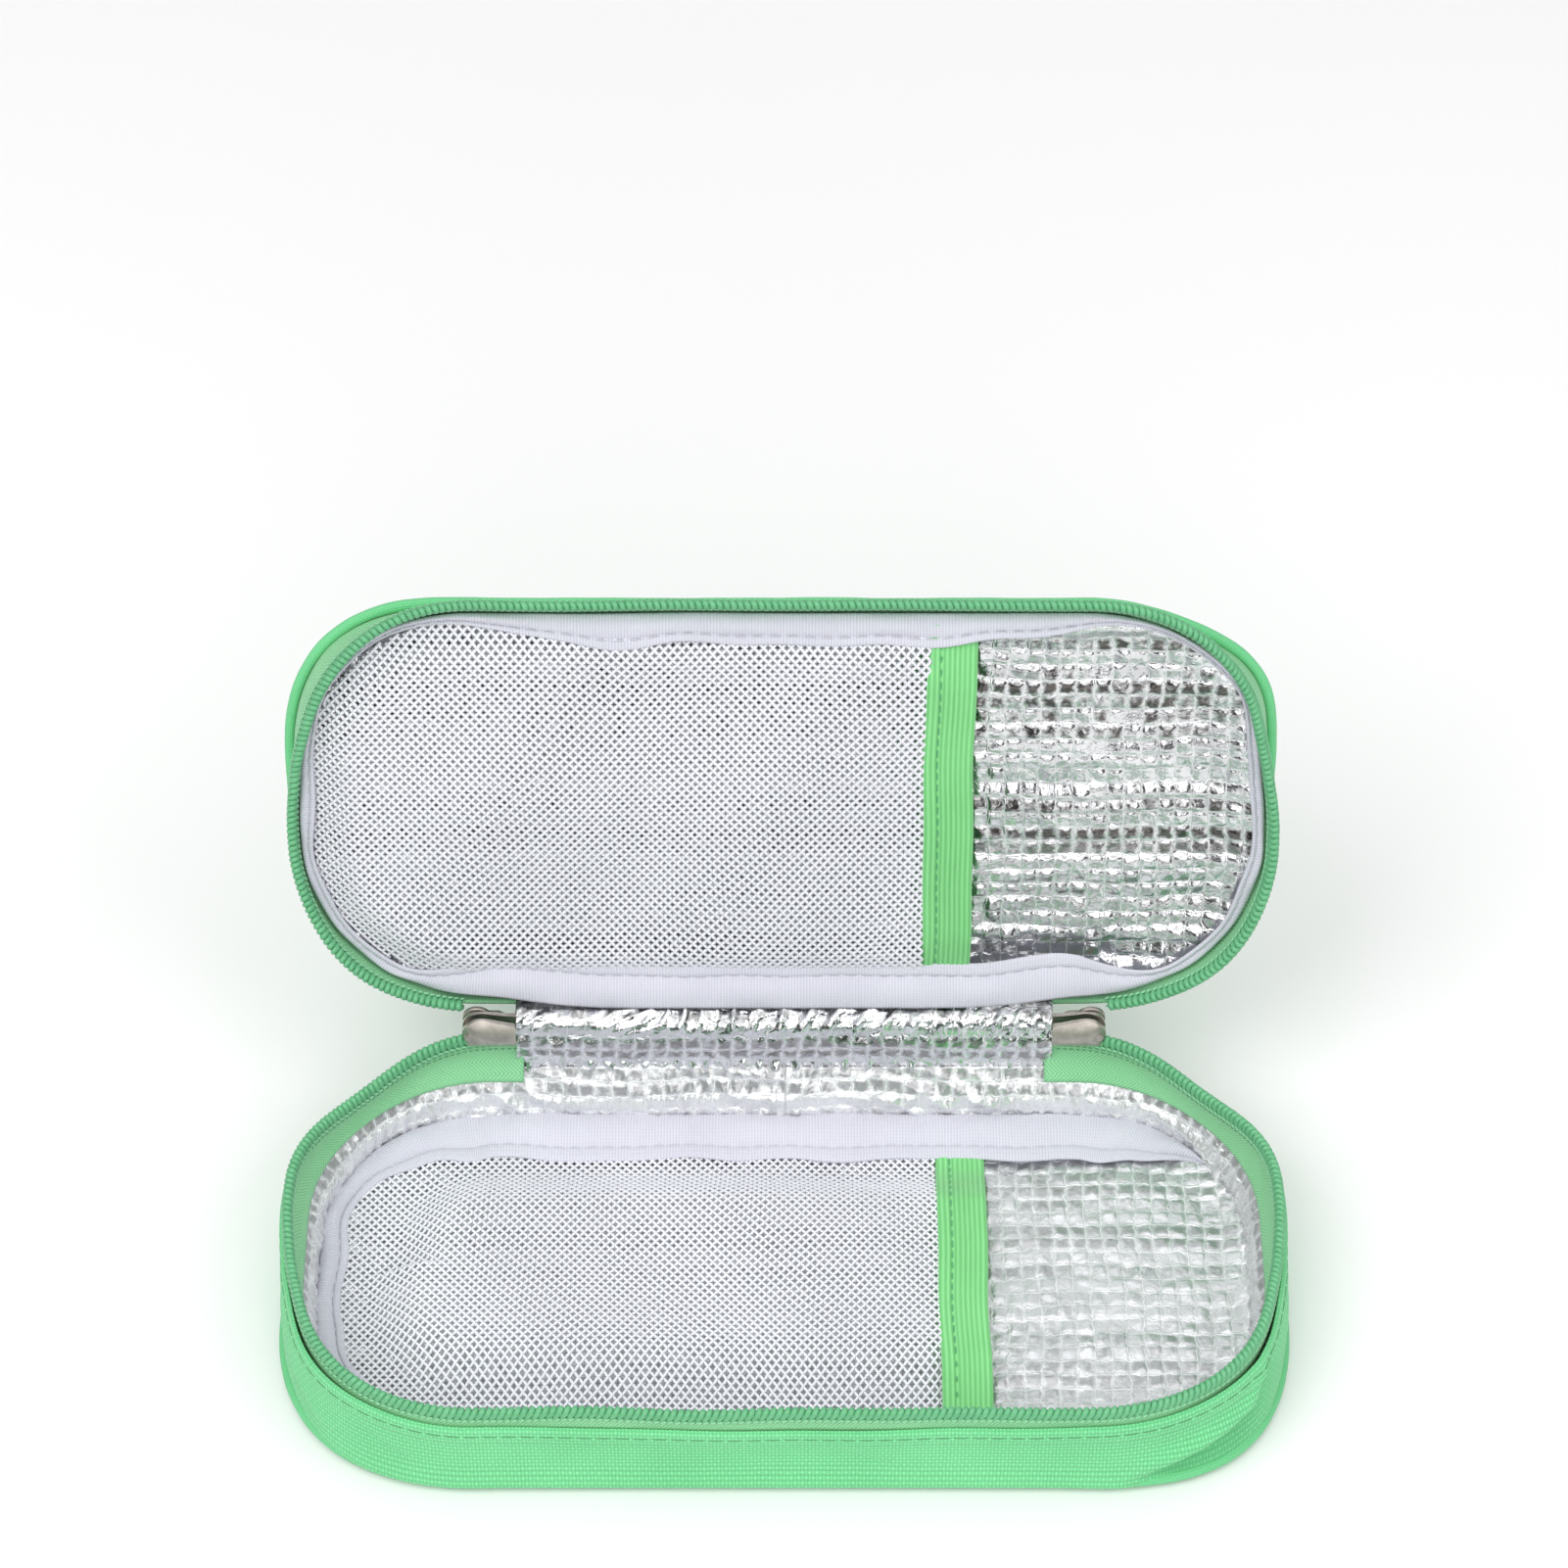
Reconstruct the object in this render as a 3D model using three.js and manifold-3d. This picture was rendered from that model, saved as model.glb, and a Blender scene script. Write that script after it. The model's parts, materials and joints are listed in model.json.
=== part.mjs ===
// A soft zipped cooling case for insulin pens, standing open.
// Millimetres, +Z up, +X along the length, +Y towards the hinge at the back.
// The origin is the middle of the underside.

import * as THREE from 'three';
import { mergeVertices } from 'three/addons/utils/BufferGeometryUtils.js';
import Module from 'manifold-3d';

const wasm = await Module();
wasm.setup();

// The case as a whole
const LENGTH = 200;
const DEPTH = 97;
const CORNER_RADIUS = 40;
const BASE_HEIGHT = 27; // underside to the middle of the closed zipper
const LID_HEIGHT = 13; // middle of the closed zipper to the edge of the top panel
const LID_CROWN = 1.5; // rise of the padded top panel at its middle
const OPEN_ANGLE = 105; // how far the lid stands open, degrees

// Cloth, padding and trim
const FABRIC = 1.2;
const FOAM = 2.4;
const FOIL = 0.5;
const BINDING = 2;
const PIPING_RADIUS = 1.6;
const PIPING_PROUD = 0.5; // piping above the edge of the top panel
const HEM_FOLD = 0.5;
const HEM_DEPTH = 4.5;
const GAP = 0.3; // between pieces that lie against each other

// Zipper
const TAPE = 0.8;
const TAPE_WIDTH = 11; // base side, coil to lower edge
const TAPE_SHOWN = 1.5; // tape above the hem of the wall
const TAPE_INSIDE = 6; // tape above the lining, inside the base
const COIL_WIDTH = 3;
const COIL_THICKNESS = 2;
const CHAIN_GAP = 1.6; // between the two coils when closed
const COIL_SKIP = 35; // degrees of each back corner where the lid's coil leaves room for the slider

// Sliders and pulls
const SLIDER_LENGTH = 11;
const SLIDER_WIDTH = 8;
const SLIDER_TAIL = 6; // width at the end that faces the hinge strip
const SLIDER_PLATE = 1;
const SLIDER_ROOM = 0.7; // coil to slider plate
const SLIDER_PARK = 1.5; // slider to the seam of the hinge strip
const NECK_LENGTH = 2;
const CROWN_POST = 1.4;
const CROWN_SPREAD = 5.2; // between the middles of the two posts
const CROWN_BAR = 0.6;
const PULL_THICKNESS = 1;
const PULL_WIDTH = 6;
const PULL_REACH = 21; // pivot to tip
const PULL_EYE = 1.7; // radius of the hole round the crown
const PULL_HOLE = 1.5; // radius of the hole at the tip

// Pockets
const POCKET_GAP = 6.2; // lining to net
const NET = 0.6;
const NET_STRAND = 1.2;
const NET_PITCH_X = 10;
const NET_PITCH_Y = 11.5;
const NET_BORDER = 2.5;
const ELASTIC_WIDTH = 10;
const ELASTIC_THICKNESS = 1;
const BASE_ELASTIC_X = 36; // middle of the band
const LID_ELASTIC_X = 33;

// Facets
const CORNER_STEPS = 10;
const PIPING_SIDES = 8;
const ARC_STEPS = 8;
const CROWN_RINGS = [1, 0.85, 0.6, 0.3, 0];

// Plan of the outline. A corner is never rounder than half the depth allows.
const CORNER = Math.min(CORNER_RADIUS, DEPTH / 2 - GAP);
const CORNER_X = LENGTH / 2 - CORNER;
const CORNER_Y = DEPTH / 2 - CORNER;
const SEAM_X = CORNER_X - SLIDER_LENGTH / 2 - SLIDER_PARK;

// Layers through the wall, as distances out from the outline
const TAPE_OUTER = -FABRIC - GAP;
const TAPE_INNER = TAPE_OUTER - TAPE;
const CHAIN_LINE = (TAPE_OUTER + TAPE_INNER) / 2;
const COIL_OUTER = CHAIN_LINE + COIL_THICKNESS / 2;
const COIL_INNER = CHAIN_LINE - COIL_THICKNESS / 2;
const HINGE_LINING_INNER = TAPE_OUTER - FOIL;
const FOAM_OUTER = TAPE_INNER - GAP;
const FOAM_INNER = FOAM_OUTER - FOAM;
const LINING_OUTER = FOAM_INNER - GAP;
const LINING_INNER = LINING_OUTER - FOIL;
const BASE_BINDING_OUTER = LINING_INNER - GAP;
const SLIDER_FRONT = COIL_OUTER + SLIDER_ROOM;
const SLIDER_BACK = COIL_INNER - SLIDER_ROOM - SLIDER_PLATE;
const LID_BINDING_OUTER = -Math.hypot(SLIDER_BACK - GAP, SLIDER_WIDTH / 2); // clears the turning slider plate
const PANEL_EDGE = -PIPING_RADIUS - GAP;

// Heights in the base
const BOTTOM_PIPING_Z = GAP + PIPING_RADIUS;
const WALL_FOOT = BOTTOM_PIPING_Z + PIPING_RADIUS + GAP;
const FLOOR_FOAM_FOOT = FABRIC + GAP;
const FLOOR_FOIL_FOOT = FLOOR_FOAM_FOOT + FOAM + GAP;
const FLOOR_TOP = FLOOR_FOIL_FOOT + FOIL;
const LINING_FOOT = FLOOR_TOP + GAP;
const BASE_NET_FOOT = FLOOR_TOP + POCKET_GAP;
const BASE_COIL_TOP = BASE_HEIGHT - CHAIN_GAP / 2;
const BASE_COIL_FOOT = BASE_COIL_TOP - COIL_WIDTH;
const BASE_TAPE_TOP = BASE_COIL_FOOT - GAP;
const BASE_TAPE_FOOT = BASE_TAPE_TOP - TAPE_WIDTH;
const WALL_TOP = BASE_TAPE_TOP - TAPE_SHOWN;
const LINING_TOP = BASE_TAPE_TOP - TAPE_INSIDE;

// Heights in the lid, with the case closed
const LID_COIL_FOOT = BASE_HEIGHT + CHAIN_GAP / 2;
const LID_COIL_TOP = LID_COIL_FOOT + COIL_WIDTH;
const LID_TAPE_FOOT = LID_COIL_TOP + GAP;
const LID_TOP = BASE_HEIGHT + LID_HEIGHT;
const LID_PIPING_Z = LID_TOP + PIPING_PROUD - PIPING_RADIUS;
const LID_WALL_TOP = LID_PIPING_Z - PIPING_RADIUS - GAP;
const LID_FOAM_TOP = LID_TOP - FABRIC - GAP;
const LID_FOIL_TOP = LID_FOAM_TOP - FOAM - GAP;
const LID_FOIL_FOOT = LID_FOIL_TOP - FOIL;
const LID_NET_TOP = LID_FOIL_FOOT - POCKET_GAP;

// The fold of the hinge strip runs along the back edge, level with the zipper.
const HINGE_Y = DEPTH / 2 + GAP;
const HINGE_Z = BASE_HEIGHT;

// Colours of the materials
const OXFORD = { color: 0x84e6a6, roughness: 0.85, metalness: 0 };
const PIPED = { color: 0x72d896, roughness: 0.8, metalness: 0 };
const ZIPPER_TAPE = { color: 0x7ac48c, roughness: 0.8, metalness: 0 };
const ZIPPER_COIL = { color: 0x4fae7c, roughness: 0.45, metalness: 0 };
const LINING_FOIL = { color: 0xd4d7da, roughness: 0.22, metalness: 1 };
const PADDING = { color: 0xf2f2ee, roughness: 0.95, metalness: 0 };
const WHITE_NET = { color: 0xeceef2, roughness: 0.7, metalness: 0 };
const WHITE_TAPE = { color: 0xe8e8f0, roughness: 0.8, metalness: 0 };
const GREEN_ELASTIC = { color: 0x86d890, roughness: 0.75, metalness: 0 };
const SLIDER_METAL = { color: 0xb4b3aa, roughness: 0.3, metalness: 1 };

// A closed solid from its vertices and triangles, with its faces pointing out.
function solid(positions, index) {
  const corners = [0, 1, 2].map(() => new THREE.Vector3());
  let volume = 0;
  for (let i = 0; i < index.length; i += 3) {
    corners.forEach((corner, k) => corner.fromArray(positions, index[i + k] * 3));
    volume += corners[0].dot(corners[1].clone().cross(corners[2]));
  }
  const geometry = new THREE.BufferGeometry();
  geometry.setAttribute('position', new THREE.Float32BufferAttribute(positions, 3));
  geometry.setIndex(volume < 0 ? index.slice().reverse() : index);
  return geometry;
}

// One place on the outline: the middle of its arc and the direction out of the case.
function station(x, y, degrees) {
  const angle = THREE.MathUtils.degToRad(degrees);
  return { x, y, outX: Math.cos(angle), outY: Math.sin(angle) };
}

function cornerArc(x, y, from, to) {
  const arc = [];
  for (let step = 0; step <= CORNER_STEPS; step++) {
    arc.push(station(x, y, from + (to - from) * step / CORNER_STEPS));
  }
  return arc;
}

// The four corners in order, starting and ending `skip` degrees round the back corners.
function corners(skip = 0) {
  return [
    ...cornerArc(CORNER_X, CORNER_Y, 90 - skip, 0),
    ...cornerArc(CORNER_X, -CORNER_Y, 0, -90),
    ...cornerArc(-CORNER_X, -CORNER_Y, -90, -180),
    ...cornerArc(-CORNER_X, CORNER_Y, -180, -270 + skip),
  ];
}

// The outline from one seam of the hinge strip round the front to the other.
function seamToSeam() {
  const edge = SEAM_X + GAP;
  return [station(edge, CORNER_Y, 90), ...corners(), station(-edge, CORNER_Y, 90)];
}

// The stretch of the outline that the hinge strip covers.
function hingeStretch() {
  const edge = SEAM_X - GAP;
  return [station(-edge, CORNER_Y, 90), station(edge, CORNER_Y, 90)];
}

// A section of [out, z] points carried along the outline, closed on itself or capped at both ends.
function sweep(section, path, closed) {
  const positions = [];
  for (const { x, y, outX, outY } of path) {
    for (const [out, z] of section) {
      positions.push(x + outX * (CORNER + out), y + outY * (CORNER + out), z);
    }
  }
  const count = section.length;
  const spans = closed ? path.length : path.length - 1;
  const index = [];
  for (let span = 0; span < spans; span++) {
    const here = span * count;
    const next = ((span + 1) % path.length) * count;
    for (let j = 0; j < count; j++) {
      const k = (j + 1) % count;
      index.push(here + j, next + j, next + k, here + j, next + k, here + k);
    }
  }
  if (!closed) {
    const end = spans * count;
    const outline = section.map(([out, z]) => new THREE.Vector2(out, z));
    for (const [p, q, r] of THREE.ShapeUtils.triangulateShape(outline, [])) {
      index.push(p, q, r, end + p, end + r, end + q);
    }
  }
  return solid(positions, index);
}

// Sections run counter-clockwise, with out to the right and z up.
function band(inner, outer, foot, top) {
  return [[inner, foot], [outer, foot], [outer, top], [inner, top]];
}

function roundSection(z) {
  const section = [];
  for (let side = 0; side < PIPING_SIDES; side++) {
    const angle = 2 * Math.PI * (side + 0.5) / PIPING_SIDES;
    section.push([PIPING_RADIUS * Math.cos(angle), z + PIPING_RADIUS * Math.sin(angle)]);
  }
  return section;
}

// The outline as points, moved out by `out`.
function outlinePoints(out) {
  return corners().map(({ x, y, outX, outY }) => (
    new THREE.Vector2(x + outX * (CORNER + out), y + outY * (CORNER + out))
  ));
}

// What is left of a convex outline on one side of the line x = at.
function cutAt(points, at, keepLeft) {
  const sign = keepLeft ? 1 : -1;
  const kept = [];
  points.forEach((point, i) => {
    const next = points[(i + 1) % points.length];
    const here = sign * (at - point.x);
    const there = sign * (at - next.x);
    if (here >= 0) kept.push(point);
    if (here * there < 0) kept.push(point.clone().lerp(next, here / (here - there)));
  });
  return kept;
}

function plate(shape, foot, top) {
  const geometry = new THREE.ExtrudeGeometry(shape, { depth: top - foot, bevelEnabled: false });
  return geometry.translate(0, 0, foot);
}

function flatPanel(edge, foot, top) {
  return plate(new THREE.Shape(outlinePoints(edge)), foot, top);
}

// A panel that rises towards its middle: by `under` on its lower face, by `over` on its upper one.
function crownedPanel(edge, foot, top, under, over) {
  const rim = outlinePoints(edge);
  const positions = [];
  for (const [height, crown] of [[foot, under], [top, over]]) {
    for (const share of CROWN_RINGS) {
      const ring = share > 0 ? rim : rim.slice(0, 1);
      for (const point of ring) {
        positions.push(point.x * share, point.y * share, height + crown * (1 - share * share));
      }
    }
  }
  const count = rim.length;
  const faceSize = (CROWN_RINGS.length - 1) * count + 1;
  const index = [];
  for (let i = 0; i < count; i++) {
    const j = (i + 1) % count;
    for (let ring = 0; ring < CROWN_RINGS.length - 2; ring++) {
      const outer = ring * count;
      const inner = outer + count;
      const low = [outer + i, outer + j, inner + j, outer + i, inner + j, inner + i];
      index.push(...low, ...low.map((v) => v + faceSize).reverse());
    }
    const last = (CROWN_RINGS.length - 2) * count;
    const tip = [last + i, last + j, faceSize - 1];
    index.push(...tip, ...tip.map((v) => v + faceSize).reverse());
    index.push(j, i, faceSize + i, j, faceSize + i, faceSize + j);
  }
  return solid(positions, index);
}

function insideConvex(point, points) {
  return points.every((a, i) => {
    const b = points[(i + 1) % points.length];
    return (b.x - a.x) * (point.y - a.y) - (b.y - a.y) * (point.x - a.x) <= 0;
  });
}

// A net pocket: the outline left of the elastic band, pierced by diamonds in staggered rows.
function netPocket(edge, right, foot) {
  const shape = new THREE.Shape(cutAt(outlinePoints(edge), right, true));
  const room = cutAt(outlinePoints(edge - NET_BORDER), right - NET_BORDER, true);
  const stepX = NET_PITCH_X / 2;
  const stepY = NET_PITCH_Y / 2;
  const open = 1 - NET_STRAND / 2 * Math.hypot(1 / stepX, 1 / stepY);
  const columns = Math.ceil(LENGTH / stepX);
  const rows = Math.ceil(DEPTH / 2 / stepY);
  for (let column = 1; column < columns; column++) {
    for (let row = -rows; row <= rows; row++) {
      if ((column + row) % 2 !== 0) continue;
      const x = right - column * stepX;
      const y = row * stepY;
      const diamond = [[1, 0], [0, 1], [-1, 0], [0, -1]].map(([alongX, alongY]) => (
        new THREE.Vector2(x + alongX * stepX * open, y + alongY * stepY * open)
      ));
      if (diamond.every((point) => insideConvex(point, room))) {
        shape.holes.push(new THREE.Path(diamond));
      }
    }
  }
  return plate(shape, foot, foot + NET);
}

// An elastic band across the case from front to back, over the mouth of the pocket.
function elasticBand(edge, middle, foot) {
  const leftOf = cutAt(outlinePoints(edge), middle + ELASTIC_WIDTH / 2, true);
  const strip = cutAt(leftOf, middle - ELASTIC_WIDTH / 2, false);
  return plate(new THREE.Shape(strip), foot, foot + ELASTIC_THICKNESS);
}

// An upright plate: a shape drawn in x and z, from y = back to y = front.
function uprightPlate(shape, back, front) {
  const depth = front - back;
  const geometry = new THREE.ExtrudeGeometry(shape, { depth, bevelEnabled: false, curveSegments: ARC_STEPS });
  return geometry.rotateX(Math.PI / 2).translate(0, front, 0);
}

function uprightBox(x, width, height, back, front) {
  return new THREE.BoxGeometry(width, front - back, height).translate(x, (front + back) / 2, 0);
}

function toManifold(geometry) {
  const bare = geometry.clone();
  bare.deleteAttribute('normal');
  bare.deleteAttribute('uv');
  const merged = mergeVertices(bare, 1e-4);
  const vertProperties = new Float32Array(merged.attributes.position.array);
  const triVerts = new Uint32Array(merged.index.array);
  return new wasm.Manifold(new wasm.Mesh({ numProp: 3, vertProperties, triVerts }));
}

function union(geometries) {
  const joined = geometries.map(toManifold).reduce((whole, piece) => whole.add(piece)).getMesh();
  return solid(Array.from(joined.vertProperties), Array.from(joined.triVerts));
}

// A slider about the middle of the chain, with its nose away from the hinge strip.
// Its two plates clasp the coils, and the pull hangs in the crown on the outer plate.
function sliderBody(side) {
  const half = SLIDER_WIDTH / 2;
  const tail = SLIDER_TAIL / 2;
  const noseReach = SLIDER_LENGTH / 2;
  const noseStart = noseReach - half;
  const outline = new THREE.Shape();
  outline.moveTo(-side * noseReach, -tail);
  outline.lineTo(side * noseStart, -half);
  for (let step = 1; step < ARC_STEPS; step++) {
    const angle = Math.PI * (step / ARC_STEPS - 0.5);
    outline.lineTo(side * (noseStart + half * Math.cos(angle)), half * Math.sin(angle));
  }
  outline.lineTo(side * noseStart, half);
  outline.lineTo(-side * noseReach, tail);
  outline.closePath();

  const front = SLIDER_FRONT - CHAIN_LINE;
  const back = SLIDER_BACK - CHAIN_LINE;
  const crownFoot = front + SLIDER_PLATE;
  const crownTop = crownFoot + PULL_THICKNESS + 2 * GAP;
  const bite = SLIDER_PLATE / 2; // how far the joined pieces run into each other
  const neckX = side * (noseReach - GAP - NECK_LENGTH / 2);
  const neckHeight = CHAIN_GAP - 2 * GAP;
  const posts = [-1, 1].map((end) => (
    uprightBox(end * CROWN_SPREAD / 2, CROWN_POST, CROWN_POST, crownFoot - bite, crownTop + CROWN_BAR)
  ));
  const barLength = CROWN_SPREAD + CROWN_POST;
  return union([
    uprightPlate(outline, back, back + SLIDER_PLATE),
    uprightPlate(outline, front, front + SLIDER_PLATE),
    uprightBox(neckX, NECK_LENGTH, neckHeight, back + bite, front + bite),
    ...posts,
    uprightBox(0, barLength, CROWN_POST + 2 * GAP, crownTop, crownTop + CROWN_BAR),
  ]);
}

// A flat pull hanging from its pivot, with an eye at the top and a hole near the tip.
function pull() {
  const round = PULL_WIDTH / 2;
  const tip = PULL_REACH - round;
  const outline = new THREE.Shape();
  outline.absarc(0, 0, round, 0, Math.PI);
  outline.absarc(0, -tip, round, Math.PI, 2 * Math.PI);
  outline.closePath();
  outline.holes.push(new THREE.Path().absarc(0, 0, PULL_EYE, 0, 2 * Math.PI));
  outline.holes.push(new THREE.Path().absarc(0, -tip, PULL_HOLE, 0, 2 * Math.PI));
  const back = SLIDER_FRONT - CHAIN_LINE + SLIDER_PLATE + GAP;
  return uprightPlate(outline, back, back + PULL_THICKNESS);
}

function add(group, name, geometry, look) {
  const mesh = new THREE.Mesh(geometry, new THREE.MeshStandardMaterial(look));
  mesh.name = name;
  group.add(mesh);
  return mesh;
}

// The base: a padded tray of cloth, lined with foil, with the lower half of the zipper round its rim.
function makeBase() {
  const base = new THREE.Group();
  const around = seamToSeam();
  const hinge = hingeStretch();
  const loop = corners();
  const wall = [
    [-FABRIC, WALL_FOOT],
    [0, WALL_FOOT],
    [0, WALL_TOP - HEM_DEPTH - HEM_FOLD],
    [HEM_FOLD, WALL_TOP - HEM_DEPTH],
    [HEM_FOLD, WALL_TOP],
    [-FABRIC, WALL_TOP],
  ];
  const hingeTop = HINGE_Z - GAP;
  const bindingInner = BASE_BINDING_OUTER - BINDING;
  const tape = band(TAPE_INNER, TAPE_OUTER, BASE_TAPE_FOOT, BASE_TAPE_TOP);
  const coil = band(COIL_INNER, COIL_OUTER, BASE_COIL_FOOT, BASE_COIL_TOP);
  const hingeLining = band(HINGE_LINING_INNER, TAPE_OUTER, BASE_TAPE_FOOT, hingeTop);
  const wallFoam = band(FOAM_INNER, FOAM_OUTER, LINING_FOOT, LINING_TOP - FOIL);
  const wallLining = band(LINING_INNER, LINING_OUTER, LINING_FOOT, LINING_TOP);
  const binding = band(bindingInner, BASE_BINDING_OUTER, LINING_FOOT, BASE_NET_FOOT - GAP);
  const netRight = BASE_ELASTIC_X - ELASTIC_WIDTH / 2 - GAP;

  add(base, 'bottom_panel', flatPanel(PANEL_EDGE, 0, FABRIC), OXFORD);
  add(base, 'bottom_piping', sweep(roundSection(BOTTOM_PIPING_Z), loop, true), PIPED);
  add(base, 'side_wall', sweep(wall, around, false), OXFORD);
  add(base, 'back_panel', sweep(band(-FABRIC, 0, WALL_FOOT, hingeTop), hinge, false), OXFORD);
  add(base, 'floor_foam', flatPanel(FOAM_OUTER, FLOOR_FOAM_FOOT, FLOOR_FOAM_FOOT + FOAM), PADDING);
  add(base, 'floor_lining', flatPanel(FOAM_OUTER, FLOOR_FOIL_FOOT, FLOOR_TOP), LINING_FOIL);
  add(base, 'wall_foam', sweep(wallFoam, loop, true), PADDING);
  add(base, 'wall_lining', sweep(wallLining, loop, true), LINING_FOIL);
  add(base, 'base_hinge_lining', sweep(hingeLining, hinge, false), LINING_FOIL);
  add(base, 'floor_binding', sweep(binding, loop, true), WHITE_TAPE);
  add(base, 'base_zipper_tape', sweep(tape, around, false), ZIPPER_TAPE);
  add(base, 'base_zipper_coil', sweep(coil, around, false), ZIPPER_COIL);
  add(base, 'base_mesh_pocket', netPocket(BASE_BINDING_OUTER, netRight, BASE_NET_FOOT), WHITE_NET);
  add(base, 'base_pocket_elastic', elasticBand(BASE_BINDING_OUTER, BASE_ELASTIC_X, BASE_NET_FOOT), GREEN_ELASTIC);
  return base;
}

// The lid, drawn closed and then turned back about the fold of the hinge strip.
function makeLid() {
  const closed = new THREE.Group();
  closed.position.set(0, -HINGE_Y, -HINGE_Z);
  const around = seamToSeam();
  const hinge = hingeStretch();
  const loop = corners();
  const hingeFoot = HINGE_Z + GAP;
  const bindingFoot = LID_NET_TOP + GAP;
  const bindingInner = LID_BINDING_OUTER - BINDING;
  const tape = band(TAPE_INNER, TAPE_OUTER, LID_TAPE_FOOT, LID_WALL_TOP);
  const coil = band(COIL_INNER, COIL_OUTER, LID_COIL_FOOT, LID_COIL_TOP);
  const hingeLining = band(HINGE_LINING_INNER, TAPE_OUTER, hingeFoot, LID_WALL_TOP);
  const binding = band(bindingInner, LID_BINDING_OUTER, bindingFoot, LID_FOIL_FOOT - GAP);
  const netRight = LID_ELASTIC_X - ELASTIC_WIDTH / 2 - GAP;
  const elasticFoot = LID_NET_TOP - ELASTIC_THICKNESS;
  const topPanel = crownedPanel(PANEL_EDGE, LID_TOP - FABRIC, LID_TOP, LID_CROWN, LID_CROWN);
  const foam = crownedPanel(FOAM_OUTER, LID_FOAM_TOP - FOAM, LID_FOAM_TOP, 0, LID_CROWN);

  add(closed, 'top_panel', topPanel, OXFORD);
  add(closed, 'lid_piping', sweep(roundSection(LID_PIPING_Z), loop, true), PIPED);
  add(closed, 'lid_foam', foam, PADDING);
  add(closed, 'lid_lining', flatPanel(FOAM_OUTER, LID_FOIL_FOOT, LID_FOIL_TOP), LINING_FOIL);
  add(closed, 'lid_binding', sweep(binding, loop, true), WHITE_TAPE);
  add(closed, 'lid_zipper_tape', sweep(tape, around, false), ZIPPER_TAPE);
  add(closed, 'lid_zipper_coil', sweep(coil, corners(COIL_SKIP), false), ZIPPER_COIL);
  add(closed, 'lid_back_panel', sweep(band(-FABRIC, 0, hingeFoot, LID_WALL_TOP), hinge, false), OXFORD);
  add(closed, 'lid_hinge_lining', sweep(hingeLining, hinge, false), LINING_FOIL);
  add(closed, 'lid_mesh_pocket', netPocket(LID_BINDING_OUTER, netRight, LID_NET_TOP - NET), WHITE_NET);
  add(closed, 'lid_pocket_elastic', elasticBand(LID_BINDING_OUTER, LID_ELASTIC_X, elasticFoot), GREEN_ELASTIC);

  const lid = new THREE.Group();
  lid.position.set(0, HINGE_Y, HINGE_Z);
  lid.rotation.x = -THREE.MathUtils.degToRad(OPEN_ANGLE);
  lid.add(closed);
  return lid;
}

// One slider parked at its end of the zipper, with its pull hanging behind the wall.
function makeSlider(label, side) {
  const slider = new THREE.Group();
  slider.position.set(side * CORNER_X, DEPTH / 2 + CHAIN_LINE, BASE_HEIGHT);
  add(slider, `${label}_slider_body`, sliderBody(side), SLIDER_METAL);
  const hanging = add(slider, `${label}_pull`, pull(), SLIDER_METAL);
  hanging.position.x = side * CROWN_SPREAD / 2;
  return slider;
}

const coolingCase = new THREE.Group();
coolingCase.add(makeBase(), makeLid(), makeSlider('left', -1), makeSlider('right', 1));

export default coolingCase;
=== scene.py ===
import json
import math

import bmesh
import bpy
import numpy as np
from mathutils import Matrix, Vector


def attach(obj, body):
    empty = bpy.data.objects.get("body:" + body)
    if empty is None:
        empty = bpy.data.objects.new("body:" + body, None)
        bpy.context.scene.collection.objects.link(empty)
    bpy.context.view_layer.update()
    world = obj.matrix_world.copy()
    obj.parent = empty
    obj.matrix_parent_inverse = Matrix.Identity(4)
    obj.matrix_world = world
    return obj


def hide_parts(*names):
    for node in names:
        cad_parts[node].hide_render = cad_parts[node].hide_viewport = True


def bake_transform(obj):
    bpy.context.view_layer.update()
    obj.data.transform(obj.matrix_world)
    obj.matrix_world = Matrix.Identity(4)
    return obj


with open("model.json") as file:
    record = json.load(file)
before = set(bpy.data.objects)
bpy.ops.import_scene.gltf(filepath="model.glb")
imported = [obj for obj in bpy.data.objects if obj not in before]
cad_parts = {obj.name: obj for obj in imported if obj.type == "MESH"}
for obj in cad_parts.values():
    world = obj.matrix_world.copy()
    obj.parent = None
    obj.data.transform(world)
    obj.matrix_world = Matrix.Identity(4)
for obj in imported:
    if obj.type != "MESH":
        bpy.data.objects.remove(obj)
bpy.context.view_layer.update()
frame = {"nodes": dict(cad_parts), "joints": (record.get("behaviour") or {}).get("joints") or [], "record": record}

# Sizes are in millimetres until a mesh is made.
MM = 0.001
TAU = math.tau
CORNER_RADIUS = 40.0
HEM_FOLD = 0.5

LID_NODES = frame["record"]["behaviour"]["bodies"]["lid"]
HINGE = next(j for j in frame["joints"] if j["name"] == "lid_hinge")
HINGE_POINT = Vector(HINGE["pos_m"])
OPEN_ANGLE = math.radians(HINGE["range_deg"][1])
LID_TURN = (
    Matrix.Translation(HINGE_POINT)
    @ Matrix.Rotation(-OPEN_ANGLE, 4, "X")
    @ Matrix.Translation(-HINGE_POINT)
)


def node_box(name):
    """Lowest and highest corner of a CAD node in mm; the lid's nodes are taken as in the closed case."""
    points = np.array([v.co for v in frame["nodes"][name].data.vertices])
    if name in LID_NODES:
        back = np.array(LID_TURN.inverted())
        points = points @ back[:3, :3].T + back[:3, 3]
    return points.min(0) / MM, points.max(0) / MM


def middle_z(name):
    lo, hi = node_box(name)
    return (lo[2] + hi[2]) / 2


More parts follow.
